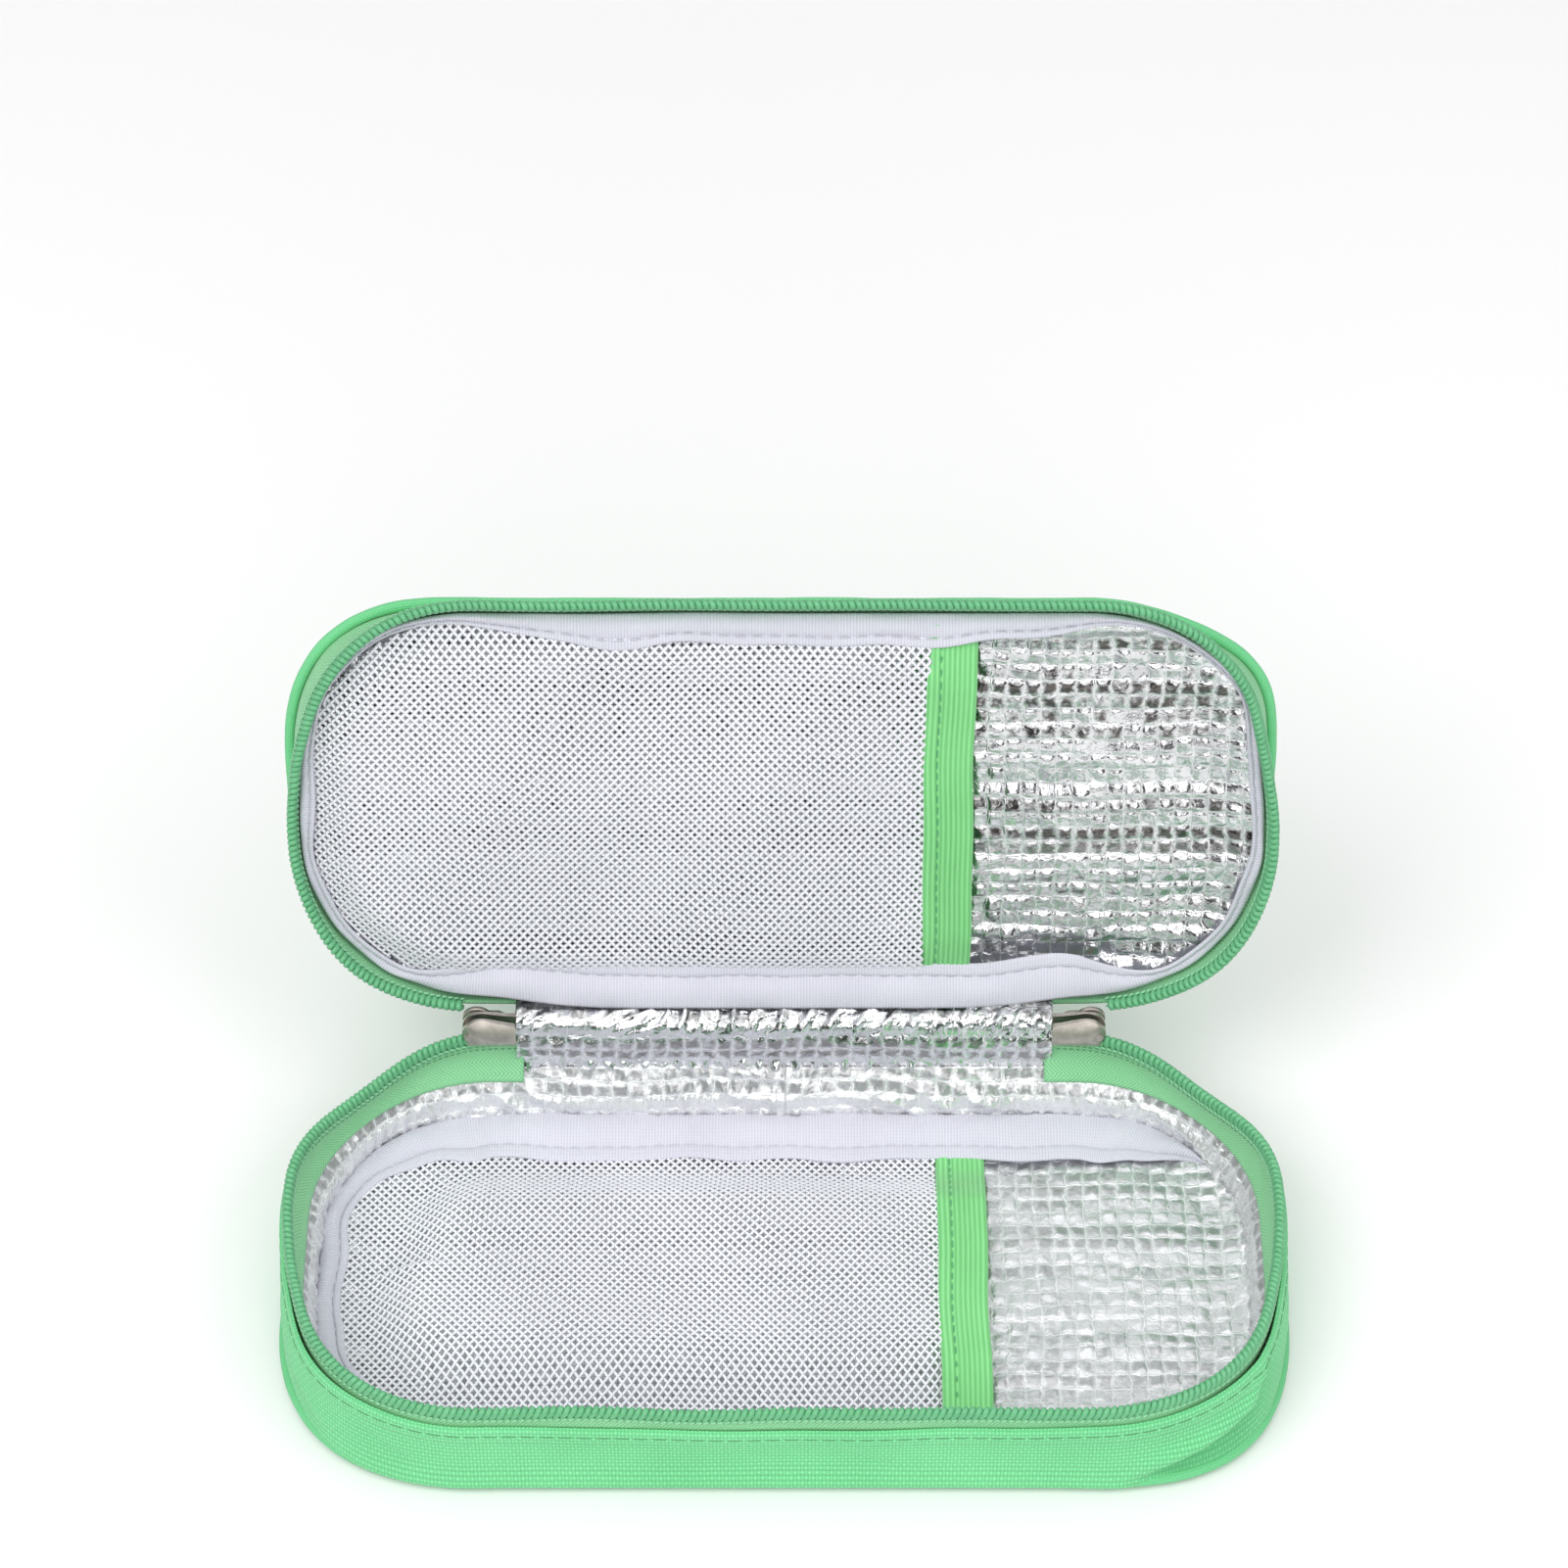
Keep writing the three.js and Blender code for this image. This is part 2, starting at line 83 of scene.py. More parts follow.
WALL_LO, WALL_HI = node_box("side_wall")
HALF_LENGTH = WALL_HI[0] - HEM_FOLD
HALF_DEPTH = -WALL_LO[1] - HEM_FOLD
HINGE_HALF = node_box("back_panel")[1][0]
STRAIGHT_X = HALF_LENGTH - CORNER_RADIUS
STRAIGHT_Y = HALF_DEPTH - CORNER_RADIUS
ARC = CORNER_RADIUS * math.pi / 2
CORNER_IN = STRAIGHT_X
CORNER_OUT = CORNER_IN + ARC
BACK_IN = CORNER_OUT + 2 * STRAIGHT_Y
BACK_OUT = BACK_IN + ARC
HALF_RUN = BACK_OUT + STRAIGHT_X
SEAM_GAP = 0.6  # between each end of the side wall and the hinge strip
SEAM_RUN = HALF_RUN - HINGE_HALF - SEAM_GAP


def wrap(s):
    """Arc lengths brought back to one turn of the outline."""
    return (np.asarray(s, float) + HALF_RUN) % (2 * HALF_RUN) - HALF_RUN


def outline(s):
    """Points of the case's outline and its outward normals, at arc lengths s from the front middle."""
    s = wrap(s)
    a = np.abs(s)
    side = np.where(s < 0, -1.0, 1.0)
    turn = np.clip((a - CORNER_IN) / CORNER_RADIUS, 0, math.pi / 2)
    turn = turn + np.clip((a - BACK_IN) / CORNER_RADIUS, 0, math.pi / 2)
    middle_x = np.clip(a, 0, STRAIGHT_X) - np.clip(a - BACK_OUT, 0, None)
    middle_y = np.clip(a - CORNER_OUT, 0, 2 * STRAIGHT_Y) - STRAIGHT_Y
    normal = np.stack([side * np.sin(turn), -np.cos(turn)], -1)
    middle = np.stack([side * middle_x, middle_y], -1)
    return middle + CORNER_RADIUS * normal, normal


def place(s, out, z):
    """Points at arc lengths s, a distance out from the outline, at height z."""
    base, normal = outline(s)
    out, z = np.broadcast_arrays(np.asarray(out, float), np.asarray(z, float))
    if out.ndim > 1:
        base, normal = base[:, None, :], normal[:, None, :]
    flat = base + out[..., None] * normal
    return np.concatenate([flat, z[..., None]], -1)


def distance(x, y):
    """Signed distance from the outline, negative inside."""
    qx = np.abs(x) - STRAIGHT_X
    qy = np.abs(y) - STRAIGHT_Y
    corner = np.hypot(np.maximum(qx, 0), np.maximum(qy, 0))
    return corner + np.minimum(np.maximum(qx, qy), 0) - CORNER_RADIUS


def arc_length(x, y):
    """Arc length s of the outline's point beside x, y."""
    over_x, over_y = np.abs(x) - STRAIGHT_X, np.abs(y) - STRAIGHT_Y
    turn = np.arctan2(np.maximum(over_x, 0), np.maximum(over_y, 1e-6)) * CORNER_RADIUS
    front = np.minimum(np.abs(x), STRAIGHT_X) + turn
    beside = np.where(y > STRAIGHT_Y, HALF_RUN - front, CORNER_OUT + y + STRAIGHT_Y)
    run = np.where(y < -STRAIGHT_Y, front, beside)
    return np.where(x < 0, -run, run)


def ripple(s, size, counts, seed):
    """A smooth closed ripple round the outline, of the given counts of waves."""
    phases = np.random.default_rng(seed).uniform(0, TAU, len(counts))
    waves = [np.sin(math.pi * c * s / HALF_RUN + p) for c, p in zip(counts, phases)]
    return size * sum(waves) / len(counts)


def hump(x, middle, width):
    return np.exp(-(((x - middle) / width) ** 2))


def ease(x, start, end):
    t = np.clip((x - start) / (end - start), 0, 1)
    return t * t * (3 - 2 * t)


def lengths(points):
    """Running length along a row of points."""
    steps = np.linalg.norm(np.diff(points, axis=0), axis=1)
    return np.concatenate([[0], np.cumsum(steps)])


def run_on(points):
    """Running length along a row of points, and one step more for a row that closes."""
    u = lengths(points)
    return np.append(u, 2 * u[-1] - u[-2])


def loop_lengths(profile):
    return lengths(np.concatenate([profile, profile[:1]]))


def resample(path, count):
    """Evenly spaced points along a path in a plane, and their running lengths."""
    run = lengths(path)
    at = np.linspace(0, run[-1], count)
    return np.stack([np.interp(at, run, path[:, k]) for k in range(2)], 1), at


def unit(rows):
    return rows / np.linalg.norm(rows, axis=1)[:, None]


def ring(count):
    return np.linspace(-HALF_RUN, HALF_RUN, count, endpoint=False)


class Shape:
    """Vertices, faces and UVs of one piece, in millimetres."""

    def __init__(self):
        self.verts, self.faces, self.uvs, self.count = [], [], [], 0

    def add(self, verts, faces, uv):
        self.verts.append(verts.reshape(-1, 3))
        self.faces.append(faces + self.count)
        self.uvs.append(uv)
        self.count += len(self.verts[-1])

    def join(self, other):
        """Takes over the faces of another shape."""
        self.faces += [faces + self.count for faces in other.faces]
        self.verts += other.verts
        self.uvs += other.uvs
        self.count += other.count

    def grid(self, points, u, v, around=False, closed=False, caps=False):
        """A surface through rows of points. u and v have one value more where the surface wraps."""
        n, k = points.shape[:2]
        i = np.arange(n if around else n - 1)[:, None]
        j = np.arange(k if closed else k - 1)[None, :]
        i2, j2 = (i + 1) % n, (j + 1) % k
        faces = np.stack([i * k + j, i2 * k + j, i2 * k + j2, i * k + j2], -1)
        i, j = np.broadcast_arrays(i, j)
        if np.ndim(u) == 2:
            corners = [(u[p % n, q % k], v[p % n, q % k]) for p, q in around_corners(i, j)]
        else:
            corners = [(u[p], v[q]) for p, q in around_corners(i, j)]
        uv = np.stack([np.stack(c, -1) for c in corners], -2)
        start = self.count
        self.add(points, faces.reshape(-1, 4), uv.reshape(-1, 4, 2))
        if caps:
            for ends in (np.arange(k), np.arange(k)[::-1] + (n - 1) * k):
                self.faces.append(ends[None, :] + start)
                self.uvs.append(np.zeros((1, k, 2)))
        return self


def around_corners(i, j):
    return (i, j), (i + 1, j), (i + 1, j + 1), (i, j + 1)


def make(name, shape, material, body=None, nodes=(), merge=0.0):
    """The object of a shape, riding on a body and standing for CAD nodes."""
    mesh = bpy.data.meshes.new(name)
    verts = np.concatenate(shape.verts) * MM
    loops = np.concatenate([f.ravel() for f in shape.faces])
    sizes = np.concatenate([np.full(len(f), f.shape[1]) for f in shape.faces])
    mesh.vertices.add(len(verts))
    mesh.vertices.foreach_set("co", verts.ravel())
    mesh.loops.add(len(loops))
    mesh.loops.foreach_set("vertex_index", loops)
    mesh.polygons.add(len(sizes))
    mesh.polygons.foreach_set("loop_start", np.concatenate([[0], np.cumsum(sizes)[:-1]]))
    mesh.update(calc_edges=True)
    layer = mesh.uv_layers.new(name="UVMap")
    layer.uv.foreach_set("vector", np.concatenate([t.reshape(-1, 2) for t in shape.uvs]).ravel())
    return finish_piece(name, mesh, material, body, nodes, merge)


CAP_SHARE = 0.98, 0.95  # size of a sheet's flat back, in x and y


def finish_piece(name, mesh, material, body, nodes, merge=0.0, cap=None):
    """Cleans a mesh, closes an open sheet with a flat back at height cap, and dresses the object.

    The lid's pieces are made as in the closed case, and are turned open here.
    """
    bm = bmesh.new()
    bm.from_mesh(mesh)
    if merge:
        bmesh.ops.remove_doubles(bm, verts=bm.verts, dist=merge * MM)
    if cap is not None:
        edges = [e for e in bm.edges if e.is_boundary]
        made = bmesh.ops.extrude_edge_only(bm, edges=edges)["geom"]
        verts = [g for g in made if isinstance(g, bmesh.types.BMVert)]
        for vert in verts:
            vert.co = CAP_SHARE[0] * vert.co.x, CAP_SHARE[1] * vert.co.y, cap * MM
        foot = [g for g in made if isinstance(g, bmesh.types.BMEdge) and g.is_boundary]
        bmesh.ops.edgeloop_fill(bm, edges=foot)
    bmesh.ops.recalc_face_normals(bm, faces=bm.faces)
    bm.to_mesh(mesh)
    bm.free()
    mesh.shade_smooth()
    if body == "lid":
        mesh.transform(LID_TURN)
    mesh.materials.append(material)
    piece = bpy.data.objects.new(name, mesh)
    bpy.context.scene.collection.objects.link(piece)
    if body:
        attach(piece, body)
    if nodes:
        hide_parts(*nodes)
    return piece


# Materials: the UVs of every piece are in millimetres along and across the cloth.


class Finish:
    """A node material built on one Principled shader."""

    def __init__(self, name, **sockets):
        self.material = bpy.data.materials.new(name)
        self.material.use_nodes = True
        self.nodes = self.material.node_tree.nodes
        self.links = self.material.node_tree.links
        self.shader = self.nodes["Principled BSDF"]
        for socket, value in sockets.items():
            self.shader.inputs[socket.replace("_", " ").title()].default_value = value

    def feed(self, socket, value):
        if isinstance(value, bpy.types.NodeSocket):
            self.links.new(value, socket)
        else:
            socket.default_value = value

    def math(self, operation, *values):
        node = self.nodes.new("ShaderNodeMath")
        node.operation = operation
        for socket, value in zip(node.inputs, values):
            self.feed(socket, value)
        return node.outputs[0]

    def chain(self, operation, values):
        total = values[0]
        for value in values[1:]:
            total = self.math(operation, total, value)
        return total

    def sum(self, *values):
        return self.chain("ADD", values)

    def times(self, *values):
        return self.chain("MULTIPLY", values)

    def wave(self, value, pitch, phase=0.0):
        """0 to 1 and back in each pitch."""
        angle = self.math("MULTIPLY_ADD", value, TAU / pitch, phase)
        return self.math("MULTIPLY_ADD", self.math("SINE", angle), 0.5, 0.5)

    def uv(self):
        coordinates = self.nodes.new("ShaderNodeTexCoord")
        split = self.nodes.new("ShaderNodeSeparateXYZ")
        self.links.new(coordinates.outputs["UV"], split.inputs[0])
        return split.outputs["X"], split.outputs["Y"]

    def vector(self, x, y):
        node = self.nodes.new("ShaderNodeCombineXYZ")
        self.feed(node.inputs[0], x)
        self.feed(node.inputs[1], y)
        return node.outputs[0]

    def noise(self, scale, detail=2.0, space="UV", vector=None):
        if vector is None:
            vector = self.nodes.new("ShaderNodeTexCoord").outputs[space]
        node = self.nodes.new("ShaderNodeTexNoise")
        node.inputs["Scale"].default_value = scale
        node.inputs["Detail"].default_value = detail
        self.links.new(vector, node.inputs["Vector"])
        return node.outputs["Fac"]

    def white_noise(self, dimensions, socket, value):
        node = self.nodes.new("ShaderNodeTexWhiteNoise")
        node.noise_dimensions = dimensions
        self.links.new(value, node.inputs[socket])
        return node.outputs["Value"]

    def mix(self, factor, a, b):
        node = self.nodes.new("ShaderNodeMix")
        node.data_type = "RGBA"
        self.feed(node.inputs[0], factor)
        for socket, value in ((node.inputs[6], a), (node.inputs[7], b)):
            self.feed(socket, value if isinstance(value, bpy.types.NodeSocket) else (*value, 1))
        return node.outputs[2]

    def spread(self, value, low, high):
        """A 0 to 1 value spread between two levels."""
        return self.math("MULTIPLY_ADD", value, high - low, low)

    def clamp(self, value, low=0.0):
        return self.math("MINIMUM", self.math("MAXIMUM", value, low), 1.0)

    def dye(self, height, levels, patch_scale, patchy, light, dark):
        """A colour from dark to light by height, uneven over larger patches."""
        patches = self.noise(patch_scale, 3.0)
        shade = self.math("ADD", self.spread(height, *levels), self.spread(patches, -patchy, patchy))
        return self.mix(shade, dark, light)

    def colour(self, value):
        self.links.new(value, self.shader.inputs["Base Color"])

    def rough(self, value):
        self.links.new(value, self.shader.inputs["Roughness"])

    def bump(self, height, strength, depth):
        node = self.nodes.new("ShaderNodeBump")
        node.inputs["Strength"].default_value = strength
        node.inputs["Distance"].default_value = depth * MM
        self.links.new(height, node.inputs["Height"])
        self.links.new(node.outputs["Normal"], self.shader.inputs["Normal"])

    def weave(self, pitch_u, pitch_v, wander=0.12):
        """Height of a plain weave: each thread rises over the next and dips under the one after."""
        u, v = self.uv()
        drift = self.math("MULTIPLY_ADD", self.noise(0.23), 2 * wander, -wander)
        a = self.math("DIVIDE", self.sum(u, drift), pitch_u)
        b = self.math("DIVIDE", self.sum(v, drift), pitch_v)
        over = self.math("FLOORED_MODULO", self.sum(self.math("FLOOR", a), self.math("FLOOR", b)), 2.0)
        rise_a = self.math("SINE", self.times(self.math("FRACT", a), math.pi))
        rise_b = self.math("SINE", self.times(self.math("FRACT", b), math.pi))
        weft = self.times(rise_b, self.spread(rise_a, 0.5, 1.0))
        warp = self.times(rise_a, self.spread(rise_b, 0.4, 0.8))
        return self.sum(warp, self.times(over, self.math("SUBTRACT", weft, warp)))


# Painted shade: this mesh mark sets how far a cloth is darkened in its creases, standing in for the shade that
# falls there.
CREASE_SHADE_MARK = "crease"  # how deep in a crease each point of a cloth lies


def cloth(name, light, dark, pitch_u, pitch_v, depth=0.12, sheen=0.15, rough=0.8, crease_shade=None):
    """A plain weave. creased is the colour of painted shade in its creases, where the mesh marks any."""
    look = Finish(name, roughness=rough, sheen_weight=sheen, sheen_roughness=0.5)
    height = look.weave(pitch_u, pitch_v)
    colour = look.dye(height, (0.15, 0.85), 0.035, 0.18, light, dark)
    if crease_shade:
        mark = look.nodes.new("ShaderNodeAttribute")
        mark.attribute_name = CREASE_SHADE_MARK
        # Painted shade: the colour turns toward the crease colour where the mesh marks a crease.
        colour = look.mix(look.times(mark.outputs["Fac"], 0.75), colour, crease_shade)
    look.colour(colour)
    look.bump(height, 0.8, depth)
    return look.material


def tape_cloth(name, light, dark):
    """A zipper tape: a herringbone of fine twill lines."""
    look = Finish(name, roughness=0.72, sheen_weight=0.2, sheen_roughness=0.5)
    u, v = look.uv()
    zigzag = look.math("PINGPONG", v, 2.6)
    lines = look.wave(look.sum(u, zigzag), 0.85)
    threads = look.wave(v, 0.42)
    height = look.sum(look.times(lines, 0.75), look.times(threads, 0.25))
    look.colour(look.dye(height, (0.1, 0.9), 0.05, 0.2, light, dark))
    look.bump(height, 0.7, 0.1)
    return look.material


def ribbed_cloth(name, light, dark, pitch, along=True):
    """A ribbed tape: cords that run across its length, or along it."""
    look = Finish(name, roughness=0.75, sheen_weight=0.2, sheen_roughness=0.5)
    u, v = look.uv()
    cords = look.wave(u if along else v, pitch)
    threads = look.wave(v if along else u, 0.38)
    height = look.sum(look.times(cords, 0.8), look.times(threads, 0.2))
    look.colour(look.dye(height, (0.25, 1.0), 0.06, 0.25, light, dark))
    look.bump(height, 0.6, 0.12)
    return look.material


def thread(name, light, dark):
    """A twisted sewing thread."""
    look = Finish(name, roughness=0.6, sheen_weight=0.2)
    u, v = look.uv()
    twist = look.wave(look.sum(u, v), 0.45)
    look.colour(look.mix(twist, dark, light))
    look.bump(twist, 0.5, 0.06)
    return look.material


CELL = 3.4  # pitch of the foil's embossing
# Colour of the pale lines along the foil's cell edges: painted highlight, standing in for glints on the embossed
# ridges.
FOIL_EDGE_HIGHLIGHT = (0.92, 0.925, 0.94)


def foil(name, light, dark, hollow, rough, metal, smooth=None):
    """Embossed foil film: crinkled metal, pale lines of painted highlight along its cell edges, and cells painted
    dark in rows as a painted dark reflection.

    hollow is the painted reflection colour of the dark cells. From v = smooth on, the film lies smoother and fewer
    cells are painted dark.
    """
    look = Finish(name, metallic=metal)
    u, v = look.uv()
    u = look.sum(u, look.spread(look.noise(0.45), -1.0, 1.0))
    v = look.sum(v, look.spread(look.noise(0.6), -1.0, 1.0))
    # Painted highlight: pale lines along the edges of the cells.
    near = look.math("MINIMUM", *(look.math("PINGPONG", w, CELL / 2) for w in (u, v)))
    line = look.math("MAXIMUM", look.math("SUBTRACT", 1.0, look.times(near, 4.5)), 0.0)
    column_number, row_number = (look.math("FLOOR", look.math("DIVIDE", w, CELL)) for w in (u, v))
    own = look.white_noise("2D", "Vector", look.vector(column_number, row_number))
    row = look.white_noise("1D", "W", row_number)
    crinkle = look.noise(0.8, 4.0)
    # Painted reflection: whole cells, more of them in some rows, take the dark hollow colour, standing in for dark
    # reflections.
    inside = look.clamp(look.math("MULTIPLY_ADD", near, 1.6, -0.35))
    turned = look.sum(look.times(own, 0.55), look.times(row, 1.25))
    turned = look.sum(turned, look.spread(crinkle, -0.75, 0.75))
    turned = look.clamp(look.math("MULTIPLY_ADD", turned, 2.0, -1.5))
    if smooth is not None:
        rest = look.math("MULTIPLY_ADD", v, -0.07, 1 + 0.07 * smooth)
        turned = look.times(turned, look.clamp(rest, 0.2))
    stain = look.noise(0.09, 3.0)
    film = look.mix(look.spread(stain, -0.4, 1.4), dark, light)
    film = look.mix(look.times(inside, turned), film, hollow)
    look.colour(look.mix(line, film, FOIL_EDGE_HIGHLIGHT))
    look.rough(look.sum(look.spread(stain, rough * 0.7, rough * 1.3), look.times(line, 0.25)))
    look.bump(look.sum(crinkle, look.times(line, 0.3)), 0.5, 0.4)
    return look.material


def brushed_metal(name, light, dark):
    """Satin metal with a grain drawn out along u."""
    look = Finish(name, metallic=1.0)
    u, v = look.uv()
    grain = look.noise(1.0, 3.0, vector=look.vector(look.times(u, 0.35), look.times(v, 9.0)))
    wear = look.noise(0.5, 4.0)
    look.colour(look.mix(look.spread(wear, -0.3, 1.3), dark, light))
    look.rough(look.spread(grain, 0.36, 0.58))
    look.bump(grain, 0.15, 0.05)
    return look.material


def grained(name, light, dark, rough, grain, bump):
    """Nylon or foam: an even grain in colour and height. grain is its scale per metre and its detail."""
    look = Finish(name, roughness=rough)
    height = look.noise(*grain, "Object")
    look.colour(look.mix(height, dark, light))
    look.bump(height, *bump)
    return look.material


OXFORD_LOOK = (0.3, 0.93, 0.45), (0.08, 0.47, 0.17), 0.7, 1.05, 0.2

OXFORD = cloth("oxford", *OXFORD_LOOK)
# The wall's cloth is darkened in its creases: painted shade.
WALL_CLOTH = cloth("wall_oxford_crease_shade", *OXFORD_LOOK, crease_shade=(0.05, 0.36, 0.13))
PIPING = cloth("piping", (0.25, 0.8, 0.385), (0.1, 0.5, 0.19), 0.5, 0.5, 0.08)
TAPE = tape_cloth("zipper_tape", (0.36, 0.77, 0.43), (0.15, 0.48, 0.21))
COIL = grained("zipper_coil", (0.18, 0.53, 0.27), (0.1, 0.39, 0.18), 0.38, (350.0, 2.0), (0.15, 0.05))
# Painted light: one foil in four copies, each made lighter or darker, with its own dark-cell colour, to suit how
# light falls where it lies. The dark cells are painted reflection.
FOIL = foil("lining_foil", (0.88, 0.885, 0.9), (0.6, 0.605, 0.62), (0.14, 0.13, 0.125), 0.13, 1.0, 8.0)
CREASED = foil("creased_foil", (0.92, 0.925, 0.94), (0.66, 0.665, 0.68), (0.36, 0.355, 0.355), 0.15, 1.0)
FLOOR_FOIL = foil("floor_foil", (0.8, 0.81, 0.83), (0.64, 0.65, 0.67), (0.5, 0.505, 0.52), 0.3, 0.8)
NET = thread("net_thread", (0.92, 0.925, 0.98), (0.82, 0.825, 0.88))
WALL_SHINE = foil("wall_shine", (0.93, 0.935, 0.95), (0.7, 0.705, 0.72), (0.46, 0.46, 0.47), 0.26, 0.55)
BINDING = ribbed_cloth("binding", (0.71, 0.71, 0.79), (0.5, 0.5, 0.58), 0.62)
ELASTIC = ribbed_cloth("elastic", (0.27, 0.74, 0.29), (0.1, 0.42, 0.12), 1.1, along=False)
METAL = brushed_metal("slider_metal", (0.66, 0.61, 0.55), (0.36, 0.33, 0.3))
FOAM = grained("padding", (0.88, 0.88, 0.85), (0.72, 0.72, 0.69), 0.95, (1100.0, 3.0), (0.6, 0.3))
GREEN_THREAD = thread("green_thread", (0.14, 0.52, 0.22), (0.05, 0.26, 0.1))
PALE_THREAD = thread("pale_thread", (0.36, 0.78, 0.46), (0.16, 0.5, 0.25))
WHITE_THREAD = thread("white_thread", (0.66, 0.66, 0.72), (0.42, 0.42, 0.48))

# Shared forms.


def carry(s, out, z, push, lift):
    """Points at s, out and z, moved out by push and up by lift, which are functions of s and z."""
    at = s[:, None] if np.ndim(z) > 1 else s
    return place(s, out + push(at, z), z + lift(at, z))


def band(s, profile, push, lift, around=False):
    """A closed section of (out, z) points carried along the outline."""
    out, z = (np.repeat(profile[None, :, k], len(s), 0) for k in range(2))
    points = carry(s, out, z, push, lift)
    return Shape().grid(
        points, run_on(points[:, 0]), loop_lengths(profile), around=around, closed=True, caps=not around
    )


def ribbon(path, thickness):
    """A closed section of even thickness along a row of (out, z) points."""
    path = np.array(path, float)
    along = unit(np.gradient(path, axis=0))
    side = np.stack([-along[:, 1], along[:, 0]], 1) * thickness / 2
    return np.concatenate([path + side, (path - side)[::-1]])


def tube(points, radius, sides, around=False):
    """A round cord along a row of points."""
    n = len(points)
    if around:
        tangent = np.roll(points, -1, 0) - np.roll(points, 1, 0)
    else:
        tangent = np.gradient(points, axis=0)
    tangent = unit(tangent)
    across = np.zeros_like(points)
    last = np.array([0.3, 0.2, 0.93])
    for i in range(n):
        last = last - tangent[i] * (last @ tangent[i])
        last /= np.linalg.norm(last)
        across[i] = last
    other = np.cross(tangent, across)
    angles = np.arange(sides) * TAU / sides
    radius = np.broadcast_to(np.asarray(radius, float), (n,))[:, None, None]
    circle = np.cos(angles)[None, :, None] * across[:, None] + np.sin(angles)[None, :, None] * other[:, None]
    v = np.arange(sides + 1) * TAU * float(radius.mean()) / sides
    return Shape().grid(
        points[:, None] + radius * circle, run_on(points), v, around=around, closed=True, caps=not around
    )


STITCH_RINGS = ((-0.5, 0.3), (-0.4, 0.75), (-0.15, 1.0), (0.15, 1.0), (0.4, 0.75), (0.5, 0.3))
STITCH_SIDES = 6
THREAD_UV = 0.2


def stitches(points, along, up, length, width, height):
    """Short lengths of thread at points, lying along one direction and standing proud along another."""
    along = unit(along)
    up = unit(up - along * np.sum(up * along, axis=1)[:, None])
    across = np.cross(along, up)
    angles = np.arange(STITCH_SIDES) * TAU / STITCH_SIDES
    cos, sin = np.cos(angles)[:, None], np.sin(angles)[:, None]
    u = np.array([position * length for position, _ in STITCH_RINGS])
    v = np.arange(STITCH_SIDES + 1) * THREAD_UV
    shape = Shape()
    for i, point in enumerate(points):
        circle = cos * across[i] * width / 2 + sin * up[i] * height / 2
        rows = [point + along[i] * position * length + circle * size for position, size in STITCH_RINGS]
        shape.grid(np.array(rows), u, v, closed=True, caps=True)
    return shape


AIM_STEP = 0.5


def outline_stitches(start, end, pitch, line, size, side, slant=0.0):
    """Stitches along a line (out, z, push, lift), proud of the outside (side 1) or the inside (side -1)."""
    out, z, push, lift = line

    def at(s):
        return carry(s, out, np.full(len(s), z), push, lift)

    s = np.arange(start, end, pitch)
    along = at(s + AIM_STEP) - at(s - AIM_STEP) + slant * np.array([0, 0, 1.0])
    up = np.concatenate([outline(s)[1], np.zeros((len(s), 1))], 1) * side
    return stitches(at(s), along, up, *size)


def panel(edge, profile, count, shift=None, push=None):
    """A closed pad inside the outline. profile is rows of (share from edge to middle line, z)."""
    s = ring(count)
    rim = outline(s)
    inset = np.full(count, float(edge)) + (0 if push is None else push(s))
    rim = rim[0] + inset[:, None] * rim[1]
    reach = HALF_LENGTH - HALF_DEPTH
    middle = np.stack([np.clip(rim[:, 0], -reach, reach), np.zeros(count)], 1)
    rows = []
    for share, z in profile:
        flat = rim + share * (middle - rim)
        height = np.full(count, float(z))
        if shift is not None:
            height = height + shift(flat[:, 0], flat[:, 1], share)
        rows.append(np.concatenate([flat, height[:, None]], 1))
    points = np.array(rows).transpose(1, 0, 2)
    return Shape().grid(points, points[..., 0], points[..., 1], around=True)


EDGE_STEPS = 9


def pad_profile(z0, z1, radius, inner):
    """From the middle of the underside, round the edge, to the middle of the top."""
    low = [(share, z0) for share in inner[::-1]]
    angles = np.linspace(-math.pi / 2, math.pi / 2, EDGE_STEPS)
    half = (z1 - z0) / 2
    edge = [((1 - math.cos(a)) * radius / HALF_DEPTH, (z0 + z1) / 2 + half * math.sin(a)) for a in angles]
    high = [(share, z1) for share in inner]
    return low + edge + high


CELL_TABLE = 128  # cells along each side before their tilts repeat


def emboss(a, b, seed, puff, tilt, row_tilt):
    """Height of embossed foil at coordinates a, b of its sheet, and its grid's own coordinates."""
    gen = np.random.default_rng(seed)
    size = CELL_TABLE
    tilts_a, tilts_b, puffs = gen.normal(0, 1, (3, size, size))
    rows = gen.normal(0, 1, size)
    ca = a / CELL + 0.10 * np.sin(b / 9.1 + seed) + 0.06 * np.sin(a / 6.3 + b / 4.1)
    cb = b / CELL + 0.10 * np.sin(a / 11.7 + 2 * seed) + 0.06 * np.sin(b / 5.9 + a / 5.2)
    ia, ib = np.floor(ca).astype(int), np.floor(cb).astype(int)
    fa, fb = ca - ia, cb - ib
    ia, ib = ia % size, ib % size
    pillow = (1 - (2 * fa - 1) ** 4) * (1 - (2 * fb - 1) ** 4)
    lean = tilt * tilts_a[ia, ib] * (fa - 0.5) + (tilt * tilts_b[ia, ib] + row_tilt * rows[ib]) * (fb - 0.5)
    height = pillow * (puff * (1 + 0.35 * puffs[ia, ib]) + lean)
    return height, ca * CELL, cb * CELL


BROAD_CREASES = 2.1, 2.9, 3.7, 5.3
FINE_CREASES = 1.9, 2.6, 3.4, 4.9


